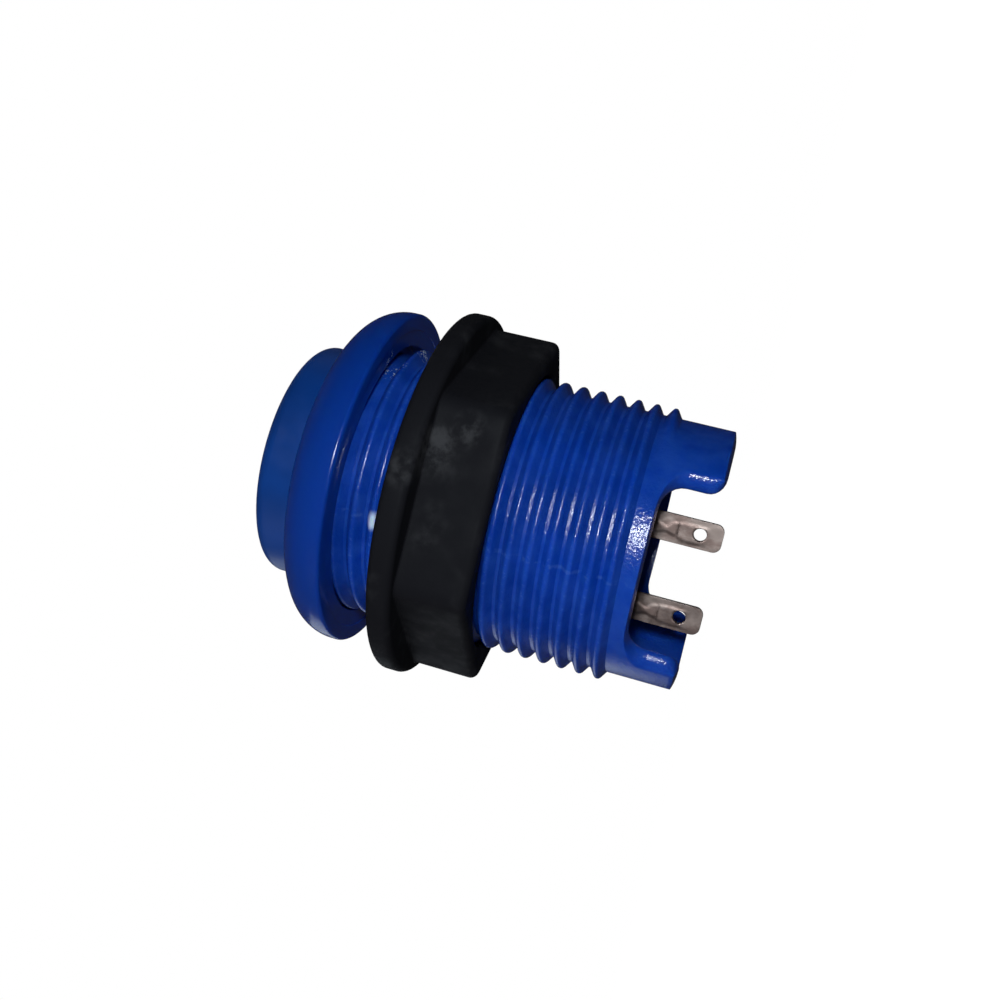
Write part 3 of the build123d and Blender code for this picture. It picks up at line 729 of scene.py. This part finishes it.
# Terminals

# Steps across a tab, down its sides, round a corner, along its end and up its stem
ACROSS, DOWN, BEND, END, STEM = 28, 20, 8, 6, 60
# Rings from the hole's edge at 0 to the tab's outline at 1
RINGS = (0.0, 0.06, 0.14, 0.24, 0.36, 0.48, 0.6, 0.72, 0.84, 0.94, 1.0)
# Tongue's lower and upper edge across the tab, by the distance from the hole towards the base, in millimetres
TONGUE = (
    (-2.0, -1.0, 0.75), (1.4, -1.0, 0.77), (2.6, -0.62, 0.64), (3.35, -0.44, 0.05), (4.3, -0.7, 0.4),
    (14.0, -0.8, 0.6),
)
# Softness of the tongue's edges, and where it rises by the hole, in millimetres
TONGUE_SOFT, TONGUE_START = 0.17, (-1.0, 0.2)
# Ripples of the strip: height as a share of the tongue's, and radians per millimetre across and along
RIPPLE, RIPPLE_ACROSS, RIPPLE_ALONG = 0.25, 2.3, 1.7
# Where the ripples fade towards the edges, as shares of half the width
RIPPLE_END = (0.7, 0.95)
# First tab's shift of the ripples, and the second's over the first's, in radians
RIPPLE_SHIFT, RIPPLE_STEP = 0.6, 0.9


def tab_outline(sizes, end, top):
    """Outline of the patch round the hole, once round from its upper left corner, as (x, z)."""
    half, r = sizes.width / 2, sizes.corner_round
    turns = quarter_turn(BEND)[:-1]
    outline = [(-half + 2 * half * i / ACROSS, top) for i in range(ACROSS)]
    outline += [(half, top + (end + r - top) * i / DOWN) for i in range(DOWN)]
    outline += [(half - r + r * cos(turn), end + r - r * sin(turn)) for turn in turns]
    outline += [(half - r + 2 * (r - half) * i / END, end) for i in range(END)]
    outline += [(r - half - r * sin(turn), end + r - r * cos(turn)) for turn in turns]
    outline += [(-half, end + r + (top - end - r) * i / DOWN) for i in range(DOWN)]
    return outline


def tongue_relief(sizes, x, from_hole, shift):
    """Depth of the embossed tongue, which narrows to a waist between the hole and the base."""
    across, along = x / MM, from_hole / MM
    for first, second in zip(TONGUE, TONGUE[1:]):
        if first[0] <= along <= second[0]:
            share = smooth_step(along, first[0], second[0])
            lower, upper = (first[k] + (second[k] - first[k]) * share for k in (1, 2))
            break
    else:
        return 0.0
    raised = smooth_step(across, lower - TONGUE_SOFT, lower + TONGUE_SOFT)
    raised *= 1.0 - smooth_step(across, upper - TONGUE_SOFT, upper + TONGUE_SOFT)
    raised *= smooth_step(along, *TONGUE_START)
    ripple = RIPPLE * sin(across * RIPPLE_ACROSS + shift) * sin(along * RIPPLE_ALONG + shift)
    ripple *= 1.0 - smooth_step(abs(x) / (sizes.width / 2), *RIPPLE_END)
    return -sizes.tongue * (raised + ripple)


def build_terminal(name, sizes, low, high, shift, material):
    """Punched strip with a rounded end, a wire hole, a stamped tongue and its bent shelf."""
    shell = Shell()
    middle, half = (low[0] + high[0]) / 2, sizes.width / 2
    hole_z = low[2] + sizes.hole_inset
    patch_top, shelf_under = hole_z + sizes.hole_inset, high[2] - sizes.thickness
    outline = tab_outline(sizes, low[2], patch_top)
    spread = [-half + 2 * half * k / ACROSS for k in range(ACROSS + 1)]

    def add(x, z, side, edge):
        """Point on a face of the strip, which stays flat at its edges."""
        depth = 0.0 if edge else tongue_relief(sizes, x, z - hole_z, shift)
        return shell.point((middle + x, sizes.plane + side * sizes.thickness / 2 + depth, z))

    def face(side):
        """One face of the strip: rings round the hole and rows up the stem."""
        rings = []
        for share in RINGS:
            line = []
            for x, z in outline:
                away = sqrt(x * x + (z - hole_z) ** 2)
                shrink = share + (1.0 - share) * sizes.hole_radius / away
                line.append(add(x * shrink, hole_z + (z - hole_z) * shrink, side, share in (0.0, 1.0)))
            rings.append(line)
        shell.stack(rings)
        stem = [rings[-1][: ACROSS + 1]]
        for i in range(1, STEM + 1):
            z = patch_top + (shelf_under - patch_top) * i / STEM
            stem.append([add(x, z, side, k in (0, ACROSS)) for k, x in enumerate(spread)])
        shell.stack(stem, closed=False)
        return rings, stem

    def whole_edge(rings, stem):
        """Points of the strip's whole outline, from the top left down, round the end and up again."""
        left = [line[0] for line in reversed(stem)]
        right = [line[-1] for line in stem[1:]]
        return left + list(reversed(rings[-1][ACROSS + 1 :])) + [rings[-1][ACROSS]] + right

    front_rings, front_stem = face(-1)
    back_rings, back_stem = face(1)
    shell.bridge(front_rings[0], back_rings[0])
    shell.bridge(whole_edge(front_rings, front_stem), whole_edge(back_rings, back_stem), closed=False)

    # Shelf bent over inside the switch
    top_front = [add(x, high[2], -1, True) for x in spread]
    far_low, far_high = [shell.row((middle + x, high[1], z) for x in spread) for z in (shelf_under, high[2])]
    shelf = (front_stem[-1], top_front, far_high, far_low, back_stem[-1])
    shell.stack(shelf, closed=False)
    shell.faces.extend(tuple(row[k] for row in shelf) for k in (0, ACROSS))

    piece = shell.piece(name, material, sharp=40.0)
    bevel = piece.modifiers.new("punched edges", "BEVEL")
    bevel.width = sizes.edge_round
    bevel.segments = 3
    bevel.limit_method = "ANGLE"
    bevel.angle_limit = radians(50)
    return piece


# Springs

# Sides of the wire and steps in one turn of a coil
WIRE_SIDES, TURN_STEPS = 12, 48


def build_coil(name, x, low, high, mean_radius, wire, turns, material):
    """Round-wire coil with flat-cut ends between two heights."""
    shell = Shell()
    steps, thick = int(turns * TURN_STEPS), wire / 2
    sides = [tau * k / WIRE_SIDES for k in range(WIRE_SIDES)]
    rows = []
    for i in range(steps + 1):
        turn = tau * turns * i / steps
        z = low + thick + (high - low - wire) * i / steps
        places = [polar(turn, mean_radius + thick * cos(side), z + thick * sin(side)) for side in sides]
        rows.append(shell.row((x + px, py, pz) for px, py, pz in places))
    shell.stack(rows)
    shell.faces.extend((tuple(rows[0]), tuple(rows[-1])))
    return shell.piece(name, material, sharp=60.0)


# Finishes

# Scrapes at the front of the thread, and in the first row a painted glint where the thread faces the flash:
# angle in degrees, height and size in millimetres, share that is white
SCRAPES_AND_GLINT = (
    (-95.5, -3.45, 1.15, 0.74), (-27.0, 0.1, 1.8, 0.45), (-6.0, -1.2, 1.5, 0.5), (-12.0, 0.9, 1.1, 0.46),
)
# Rubbed spots on the nut, and in the last row a painted highlight on the flange rim where it faces the flash:
# place and size in millimetres, strength
SMUDGES_AND_HIGHLIGHT = (
    ((6.5, -14.7, -8.0), 3.4, 0.8), ((9.1, -14.3, -10.8), 2.2, 0.8), ((7.6, -14.5, -8.4), 1.8, 0.9),
    # Painted highlight on the flange rim, where it faces the flash
    ((5.0, -18.0, -6.5), 2.4, 0.7),
)


def set_range(node, *limits):
    """Limits of a Map Range node: from low, from high, to low and to high."""
    for socket, limit in zip(("From Min", "From Max", "To Min", "To Max"), limits):
        node.inputs[socket].default_value = limit


class Finish:
    """Principled material with short calls for the textures that vary it."""

    def __init__(self, name, **sockets):
        self.material = bpy.data.materials.new(name)
        self.material.use_nodes = True
        self.tree = self.material.node_tree
        self.shader = self.tree.nodes["Principled BSDF"]
        for socket, value in sockets.items():
            self.shader.inputs[socket.replace("_", " ")].default_value = value
        self.place = self.tree.nodes.new("ShaderNodeTexCoord").outputs["Object"]

    def node(self, kind, **settings):
        """New node with its settings."""
        node = self.tree.nodes.new(kind)
        for name, value in settings.items():
            setattr(node, name, value)
        return node

    def link(self, output, target):
        """Wire an output to a socket."""
        self.tree.links.new(output, target)

    def vector(self, operation, source, other=None):
        """Vector operation on a source, with a constant where it takes one."""
        node = self.node("ShaderNodeVectorMath", operation=operation)
        self.link(source, node.inputs[0])
        if other is not None:
            node.inputs[1].default_value = other
        return node

    def noise(self, size, detail=2.0, rough=0.5, stretch=(1.0, 1.0, 1.0)):
        """Noise whose grain is about size metres wide, stretched along the axes."""
        spread = self.node("ShaderNodeMapping")
        spread.inputs["Scale"].default_value = [1.0 / s for s in stretch]
        self.link(self.place, spread.inputs["Vector"])
        noise = self.node("ShaderNodeTexNoise")
        noise.inputs["Scale"].default_value = 1.0 / size
        noise.inputs["Detail"].default_value = detail
        noise.inputs["Roughness"].default_value = rough
        self.link(spread.outputs["Vector"], noise.inputs["Vector"])
        return noise.outputs["Fac"]

    def ranged(self, value, low, high, out_low=0.0, out_high=1.0):
        """Value mapped from one range to another and clamped."""
        node = self.node("ShaderNodeMapRange", interpolation_type="SMOOTHSTEP")
        set_range(node, low, high, out_low, out_high)
        self.link(value, node.inputs["Value"])
        return node.outputs["Result"]

    def product(self, first, second):
        """Two values multiplied."""
        node = self.node("ShaderNodeMath", operation="MULTIPLY")
        self.link(first, node.inputs[0])
        self.link(second, node.inputs[1])
        return node.outputs[0]

    def radius(self):
        """Distance from the button's axis."""
        flat = self.vector("MULTIPLY", self.place, (1.0, 1.0, 0.0))
        return self.vector("LENGTH", flat.outputs["Vector"]).outputs["Value"]

    def near(self, point, inner, outer):
        """One close to a point, falling to nothing farther off."""
        away = self.vector("DISTANCE", self.place, point)
        return self.ranged(away.outputs["Value"], inner, outer, 1.0, 0.0)

    def seam(self, angle, inner, outer):
        """One close to the plane through the axis at an angle, falling to nothing farther off."""
        across = self.vector("DOT_PRODUCT", self.place, (-sin(angle), cos(angle), 0.0))
        size = self.node("ShaderNodeMath", operation="ABSOLUTE")
        self.link(across.outputs["Value"], size.inputs[0])
        return self.ranged(size.outputs[0], inner, outer, 1.0, 0.0)

    def blend(self, factor, first, second):
        """Colour between two, each a colour or an output."""
        node = self.node("ShaderNodeMix", data_type="RGBA")
        self.link(factor, node.inputs["Factor"])
        for socket, value in ((node.inputs[6], first), (node.inputs[7], second)):
            if isinstance(value, bpy.types.NodeSocket):
                self.link(value, socket)
            else:
                socket.default_value = (*value, 1.0)
        return node.outputs[2]

    def over(self, tone, place, amount, value):
        """Tone with a colour laid over it at a place, by an amount."""
        return self.blend(self.product(place, amount), tone, value)

    def paint(self, output):
        """Colour of the surface."""
        self.link(output, self.shader.inputs["Base Color"])

    def gloss(self, grain, rough, less, more, reach=0.2):
        """Roughness that wanders below and above a middle value with a grain."""
        uneven = self.ranged(grain, 0.5 - reach, 0.5 + reach, rough - less, rough + more)
        self.link(uneven, self.shader.inputs["Roughness"])

    def bump(self, height, distance, strength):
        """Fine relief, with its strength as a number or an output."""
        node = self.node("ShaderNodeBump")
        node.inputs["Distance"].default_value = distance
        if isinstance(strength, bpy.types.NodeSocket):
            self.link(strength, node.inputs["Strength"])
        else:
            node.inputs["Strength"].default_value = strength
        self.link(height, node.inputs["Height"])
        self.link(node.outputs["Normal"], self.shader.inputs["Normal"])


def shade(value, factor):
    """Colour made lighter or darker."""
    return tuple(min(1.0, part * factor) for part in value)


def moulded_blue(name, value, rough, **depth):
    """Blue moulded plastic with uneven gloss and soft mottling: the finish and its tone."""
    finish = Finish(name, IOR=1.5, **depth)
    finish.gloss(finish.noise(1.6 * MM, 4.0, 0.6), rough, 0.04, 0.06)
    mottle = finish.ranged(finish.noise(6 * MM, 3.0), 0.35, 0.65)
    return finish, finish.blend(mottle, shade(value, 0.9), shade(value, 1.1))


def housing_blue(sizes, finishes):
    """Blue of the housing: smooth darker bezel, grained barrel, rubbed crests, parting line and scrapes."""
    finish, tone = moulded_blue(
        "housing_blue", finishes.housing, 0.18,
        Subsurface_Weight=0.5, Subsurface_Scale=1.0 * MM, Subsurface_Radius=(0.3, 0.5, 1.0),
    )
    crest = sizes.barrel_radius + sizes.thread_depth
    radius = finish.radius()
    barrel = finish.ranged(radius, crest + 0.05 * MM, crest + 0.25 * MM, 1.0, 0.05)
    # Painted shade: the bezel's colour is made a fifth darker than the barrel's
    tone = finish.blend(barrel, shade(finishes.housing, 0.82), tone)
    dusty = finish.ranged(finish.noise(3 * MM, 4.0, 0.6), 0.3, 0.7, 0.0, 0.1)
    tone = finish.over(tone, barrel, dusty, finishes.scuff)
    crests = finish.product(finish.ranged(radius, crest - 0.14 * MM, crest), barrel)
    rubbed = finish.ranged(finish.noise(0.35 * MM, 3.0, 0.6), 0.5, 0.75, 0.0, 0.2)
    tone = finish.over(tone, crests, rubbed, finishes.scuff)
    seam = finish.seam(sizes.parting_angle, 0.04 * MM, 0.3 * MM)
    dashes = finish.product(barrel, finish.ranged(finish.noise(0.8 * MM, 2.0), 0.42, 0.6, 0.0, 0.22))
    tone = finish.over(tone, seam, dashes, finishes.scuff)
    grain = finish.noise(0.3 * MM, 3.0, 0.6)
    # Whitened scrapes, and in the first row a painted glint
    for angle, z, size, share in SCRAPES_AND_GLINT:
        place = finish.near(polar(radians(angle), crest - 0.1 * MM, z * MM), 0.3 * size * MM, size * MM)
        tone = finish.over(tone, place, finish.ranged(grain, 1 - share, 1.1 - share), finishes.scrape_and_glint)
    finish.paint(tone)
    finish.bump(finish.noise(0.28 * MM, 2.0, 0.6), 0.05 * MM, barrel)
    return finish.material


def plunger_blue(finishes):
    """Blue of the cap, a little duller than the housing."""
    finish, tone = moulded_blue("plunger_blue", finishes.plunger, 0.34)
    finish.paint(tone)
    finish.bump(finish.noise(1.0 * MM, 2.0), 0.006 * MM, 0.4)
    return finish.material


def moulded_matte(name, value, dust_and_highlight, rough, smudges_and_highlight=()):
    """Matte moulded plastic: fine grain with rubbed patches."""
    finish = Finish(name, Specular_IOR_Level=0.05)
    grain = finish.noise(1.5 * MM, 4.0, 0.6)
    patches = finish.ranged(finish.noise(4.5 * MM, 2.0), 0.5, 0.72)
    tone = finish.over(value, patches, finish.ranged(grain, 0.3, 0.75, 0.0, 0.4), dust_and_highlight)
    # Spots at given places: rubbed smudges, and on the nut's flange rim a painted highlight
    for point, size, share in smudges_and_highlight:
        place = finish.near([part * MM for part in point], 0.2 * size * MM, size * MM)
        tone = finish.over(tone, place, finish.ranged(grain, 0.35, 0.65, 0.0, share), dust_and_highlight)
    finish.paint(tone)
    finish.gloss(finish.noise(2.5 * MM, 4.0, 0.6), rough, 0.08, 0.1)
    finish.bump(finish.noise(0.12 * MM, 2.0, 0.6), 0.01 * MM, 0.5)
    return finish.material


def plated(name, value, stain, rough):
    """Plated strip: blotchy tarnish and uneven gloss."""
    finish = Finish(name, Metallic=1.0)
    blotch = finish.ranged(finish.noise(1.4 * MM, 4.0, 0.6, (1.0, 1.0, 1.6)), 0.38, 0.62)
    finish.paint(finish.blend(blotch, value, stain))
    finish.gloss(finish.noise(0.5 * MM, 4.0, 0.6), rough, 0.06, 0.08)
    finish.bump(finish.noise(0.35 * MM, 3.0, 0.6), 0.012 * MM, 0.5)
    return finish.material


def metal(name, value, stain, rough, stretch=(1, 1, 1)):
    """Bare metal: stains that are darker by a factor, drawn or rolled streaks and uneven gloss."""
    finish = Finish(name, Metallic=1.0)
    stained = finish.ranged(finish.noise(1.1 * MM, 4.0, 0.6), 0.35, 0.68)
    finish.paint(finish.blend(stained, value, shade(value, stain)))
    streak = finish.noise(0.2 * MM, 3.0, 0.6, stretch)
    finish.gloss(streak, rough, 0.07, 0.12, reach=0.25)
    finish.bump(streak, 0.004 * MM, 0.6)
    return finish.material


def dress(node, material):
    """Gives a solid of the packed model a finish of its own."""
    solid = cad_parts[node]
    if not solid.material_slots:
        solid.data.materials.append(material)
    for slot in solid.material_slots:
        slot.material = material


# Operators


class PUSHBUTTON_OT_housing(bpy.types.Operator):
    """Build the blue housing with its screw thread, legs and switch holders"""

    bl_idname = "pushbutton.housing"
    bl_label = "Housing"

    def execute(self, context):
        """Moulding and holders, both on the housing's body."""
        sizes, finishes = context.scene.pushbutton_housing, context.scene.pushbutton_finishes
        material = housing_blue(sizes, finishes)
        seat(build_housing(sizes, material), "housing", "housing_plastic", "housing")
        holders = build_holders(context.scene.pushbutton_holders, sizes.chamber_radius, material)
        seat(holders, "housing", "housing_plastic")
        return {"FINISHED"}


class PUSHBUTTON_OT_plunger(bpy.types.Operator):
    """Give the plunger its finish"""

    bl_idname = "pushbutton.plunger"
    bl_label = "Plunger"

    def execute(self, context):
        """Duller blue on the plunger."""
        dress("plunger", plunger_blue(context.scene.pushbutton_finishes))
        return {"FINISHED"}


class PUSHBUTTON_OT_lock_nut(bpy.types.Operator):
    """Build the black lock nut with its flange and grooved bore"""

    bl_idname = "pushbutton.lock_nut"
    bl_label = "Lock nut"

    def execute(self, context):
        """Moulding on the nut's body."""
        sizes, finishes = context.scene.pushbutton_nut, context.scene.pushbutton_finishes
        # The nut's spots include a painted highlight on its flange rim
        material = moulded_matte("nut_black", finishes.nut, finishes.dust_and_highlight, 0.62, SMUDGES_AND_HIGHLIGHT)
        pitch = context.scene.pushbutton_housing.thread_pitch
        seat(build_nut(sizes, pitch, material), "lock_nut", "nut_plastic", "lock_nut")
        return {"FINISHED"}


class PUSHBUTTON_OT_terminals(bpy.types.Operator):
    """Build the two plated terminals with their punched tabs"""

    bl_idname = "pushbutton.terminals"
    bl_label = "Terminals"

    def execute(self, context):
        """Both strips on the housing's body."""
        sizes, finishes = context.scene.pushbutton_tabs, context.scene.pushbutton_finishes
        material = plated("tab_plating", finishes.plating, finishes.tarnish, 0.5)
        strips = (
            ("common_terminal", common_low, common_high, RIPPLE_SHIFT),
            ("contact_terminal", contact_low, contact_high, RIPPLE_SHIFT + RIPPLE_STEP),
        )
        for node, low, high, shift in strips:
            strip = build_terminal(node + "_strip", sizes, low, high, shift, material)
            seat(strip, "housing", "tab_plating", node)
        return {"FINISHED"}


class PUSHBUTTON_OT_springs(bpy.types.Operator):
    """Build the two coil springs, which shorten with the plunger"""

    bl_idname = "pushbutton.springs"
    bl_label = "Springs"

    def execute(self, context):
        """Coils that flatten as the plunger and the switch button are pushed."""
        sizes, finishes = context.scene.pushbutton_springs, context.scene.pushbutton_finishes
        material = metal("spring_wire", finishes.steel, 0.7, 0.26)
        coil = build_coil(
            "return_coil", 0.0, spring_low[2], spring_high[2], sizes.return_radius, sizes.return_wire,
            sizes.return_turns, material,
        )
        seat(coil, "housing", "spring_steel", "return_spring")
        self.shorten(coil, "plunger_press", spring_low[2], spring_high[2])
        coil = build_coil(
            "blade_coil", (blade_spring_low[0] + blade_spring_high[0]) / 2, blade_spring_low[2],
            blade_spring_high[2] - sizes.blade_slack, sizes.blade_radius, sizes.blade_wire,
            sizes.blade_turns, material,
        )
        seat(coil, "housing", "spring_steel", "blade_spring")
        self.shorten(coil, "button_push", blade_spring_low[2], blade_spring_high[2])
        return {"FINISHED"}

    def shorten(self, coil, joint, low, high):
        """Lets a coil give way from its foot up by the joint's travel."""
        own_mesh(coil)


class PUSHBUTTON_OT_switch(bpy.types.Operator):
    """Give the pieces of the lever switch their finishes"""

    bl_idname = "pushbutton.switch"
    bl_label = "Switch"

    def execute(self, context):
        """Finishes on the solids of the switch."""
        finishes = context.scene.pushbutton_finishes
        red, rolled = finishes.switch_button, (8, 1, 1)
        body = moulded_matte("switch_black", finishes.switch, shade(finishes.dust_and_highlight, 0.6), 0.5)
        button = moulded_matte("switch_button_red", red, shade(red, 1.4), 0.45)
        steel = metal("lever_steel", finishes.steel, 0.75, 0.3, rolled)
        brass = metal("blade_brass", finishes.brass, 0.75, 0.28, rolled)
        silver = metal("contact_silver", finishes.silver, 0.8, 0.25)
        for material, nodes in (
            (body, ("switch_cover", "switch_base")),
            (button, ("switch_button",)),
            (steel, ("switch_lever", "lever_pin")),
            (brass, ("contact_blade",)),
            (silver, ("moving_contact", "fixed_contact")),
        ):
            for node in nodes:
                dress(node, material)
        return {"FINISHED"}


# Stage

WHITE, COOL, COLD = (1.0, 1.0, 1.0), (0.88, 0.96, 1.0), (0.8, 0.9, 1.0)
# Point that the lights face
AIM = (0.0, 0.0, -14.0 * MM)
# Small light beside the camera: way up and left from it, side and power in watts
FLASH_UP, FLASH_LEFT, FLASH_SIZE, FLASH_POWER = 16.0 * MM, 4.0 * MM, 12.0 * MM, 0.08
# Other lights: name, place and side in metres, power in watts, tint, whether surfaces mirror it
LIGHTS = (
    ("window", (-0.30, -0.16, 0.06), 0.22, 0.45, WHITE, False),
    ("below", (0.02, -0.18, -0.34), 0.2, 0.6, WHITE, False),
    ("bounce", (-0.32, 0.22, 0.07), 0.2, 0.1, COLD, True),
    ("rear", (0.22, 0.34, 0.12), 0.3, 0.6, WHITE, False),
    ("back", (-0.26, 0.34, 0.14), 0.3, 1.2, WHITE, False),
    ("front", (0.05, 0.24, 0.36), 0.3, 0.7, WHITE, False),
)
# Room as light: its bright side, how far it spreads as a cosine, and its dimmest and brightest strength
ROOM_SIDE, ROOM_SPREAD, ROOM_LIGHT = (-0.9, -0.35, 0.1), (-0.8, 0.9), (0.01, 0.06)


def soft_light(name, place, size, power, tint, mirrored):
    """Square soft light that faces the button."""
    light = bpy.data.lights.new(name, "AREA")
    light.size = size
    light.energy = power
    light.color = tint
    lamp = bpy.data.objects.new(name, light)
    lamp.location = place
    lamp.rotation_euler = (Vector(AIM) - Vector(place)).to_track_quat("-Z", "Y").to_euler()
    lamp.visible_glossy = mirrored
    bpy.context.scene.collection.objects.link(lamp)


class PUSHBUTTON_OT_stage(bpy.types.Operator):
    """Set up the pale floor, the soft light and the camera"""

    bl_idname = "pushbutton.stage"
    bl_label = "Stage"

    def execute(self, context):
        """Floor, surroundings, lights and camera."""
        stage = context.scene.pushbutton_stage
        self.floor(stage, context.scene.pushbutton_finishes.floor)
        self.surroundings(context.scene)
        camera = self.camera(context.scene, stage)
        right, up = (camera.matrix_world.col[axis].to_3d() for axis in (0, 1))
        flash = camera.location + up * FLASH_UP - right * FLASH_LEFT
        soft_light("flash", flash, FLASH_SIZE, FLASH_POWER, COOL, True)
        for light in LIGHTS:
            soft_light(*light)
        return {"FINISHED"}

    def floor(self, stage, pale):
        """Flat pale floor under the button."""
        half = stage.floor_size / 2
        slab = Shell()
        corners = ((-half, -half), (half, -half), (half, half), (-half, half))
        slab.faces.append(slab.row((x, y, stage.floor_height) for x, y in corners))
        finish = Finish("floor_white", Roughness=0.9, Emission_Strength=1.0, Emission_Color=(*WHITE, 1.0))
        finish.paint(finish.blend(finish.ranged(finish.noise(0.2, 2.0), 0.3, 0.7), shade(pale, 0.99), pale))
        floor = slab.piece("floor", finish.material)
        floor.visible_diffuse = False
        floor.visible_glossy = False

    def surroundings(self, scene):
        """White backdrop for the camera, and a room that is bright on one side as light."""
        world = bpy.data.worlds.new("studio")
        world.use_nodes = True
        scene.world = world
        nodes, links = world.node_tree.nodes, world.node_tree.links
        back = nodes["Background"]
        back.inputs["Color"].default_value = (*WHITE, 1.0)
        way = nodes.new("ShaderNodeTexCoord")
        toward = nodes.new("ShaderNodeVectorMath")
        toward.operation = "DOT_PRODUCT"
        toward.inputs[1].default_value = Vector(ROOM_SIDE).normalized()
        links.new(way.outputs["Generated"], toward.inputs[0])
        ramp = nodes.new("ShaderNodeMapRange")
        set_range(ramp, *ROOM_SPREAD, *ROOM_LIGHT)
        links.new(toward.outputs["Value"], ramp.inputs["Value"])
        seen = nodes.new("ShaderNodeLightPath")
        mix = nodes.new("ShaderNodeMix")
        links.new(seen.outputs["Is Camera Ray"], mix.inputs["Factor"])
        links.new(ramp.outputs["Result"], mix.inputs[2])
        mix.inputs[3].default_value = 1.0
        links.new(mix.outputs[0], back.inputs["Strength"])
        scene.view_settings.view_transform = "Standard"
        scene.view_settings.look = "None"

    def camera(self, scene, stage):
        """Camera at the photograph's viewing angle."""
        data = bpy.data.cameras.new("camera")
        data.lens = stage.lens
        data.sensor_width = stage.film_width
        data.clip_start = stage.nearest
        camera = bpy.data.objects.new("camera", data)
        back = Vector(stage.camera_back).normalized()
        right = Vector(stage.camera_right)
        right = (right - back * right.dot(back)).normalized()
        axes = Matrix((right, back.cross(right), back)).transposed()
        camera.matrix_world = Matrix.Translation(stage.camera_place) @ axes.to_4x4()
        scene.collection.objects.link(camera)
        scene.camera = camera
        return camera


class PUSHBUTTON_PT_build(bpy.types.Panel):
    """Buttons that build the push button piece by piece"""

    bl_idname = "PUSHBUTTON_PT_build"
    bl_label = "Push button"
    bl_space_type = "VIEW_3D"
    bl_region_type = "UI"
    bl_category = "Push button"

    def draw(self, context):
        """One button for each piece, then the sizes and colours."""
        for operator in OPERATORS:
            self.layout.operator(operator.bl_idname)
        for name, group in SETTINGS.items():
            column = self.layout.column(heading=group.__doc__)
            for prop in group.__annotations__:
                column.prop(getattr(context.scene, name), prop)


SETTINGS = {
    "pushbutton_housing": HousingSizes,
    "pushbutton_holders": HolderSizes,
    "pushbutton_nut": NutSizes,
    "pushbutton_tabs": TabSizes,
    "pushbutton_springs": SpringSizes,
    "pushbutton_finishes": Finishes,
    "pushbutton_stage": StageSizes,
}
OPERATORS = (
    PUSHBUTTON_OT_housing,
    PUSHBUTTON_OT_plunger,
    PUSHBUTTON_OT_lock_nut,
    PUSHBUTTON_OT_terminals,
    PUSHBUTTON_OT_springs,
    PUSHBUTTON_OT_switch,
    PUSHBUTTON_OT_stage,
)
CLASSES = (*SETTINGS.values(), *OPERATORS, PUSHBUTTON_PT_build)


def register():
    """Register the classes and put the settings on the scene."""
    for item in CLASSES:
        bpy.utils.register_class(item)
    for name, group in SETTINGS.items():
        setattr(bpy.types.Scene, name, PointerProperty(type=group))


def unregister():
    """Take the settings and the classes away again."""
    for name in SETTINGS:
        delattr(bpy.types.Scene, name)
    for item in reversed(CLASSES):
        bpy.utils.unregister_class(item)


def main():
    """Build every piece in order and note both boxes."""
    register()
    bpy.ops.pushbutton.housing()
    bpy.ops.pushbutton.plunger()
    bpy.ops.pushbutton.lock_nut()
    bpy.ops.pushbutton.terminals()
    bpy.ops.pushbutton.springs()
    bpy.ops.pushbutton.switch()
    bpy.ops.pushbutton.stage()


if __name__ == "__main__":
    main()
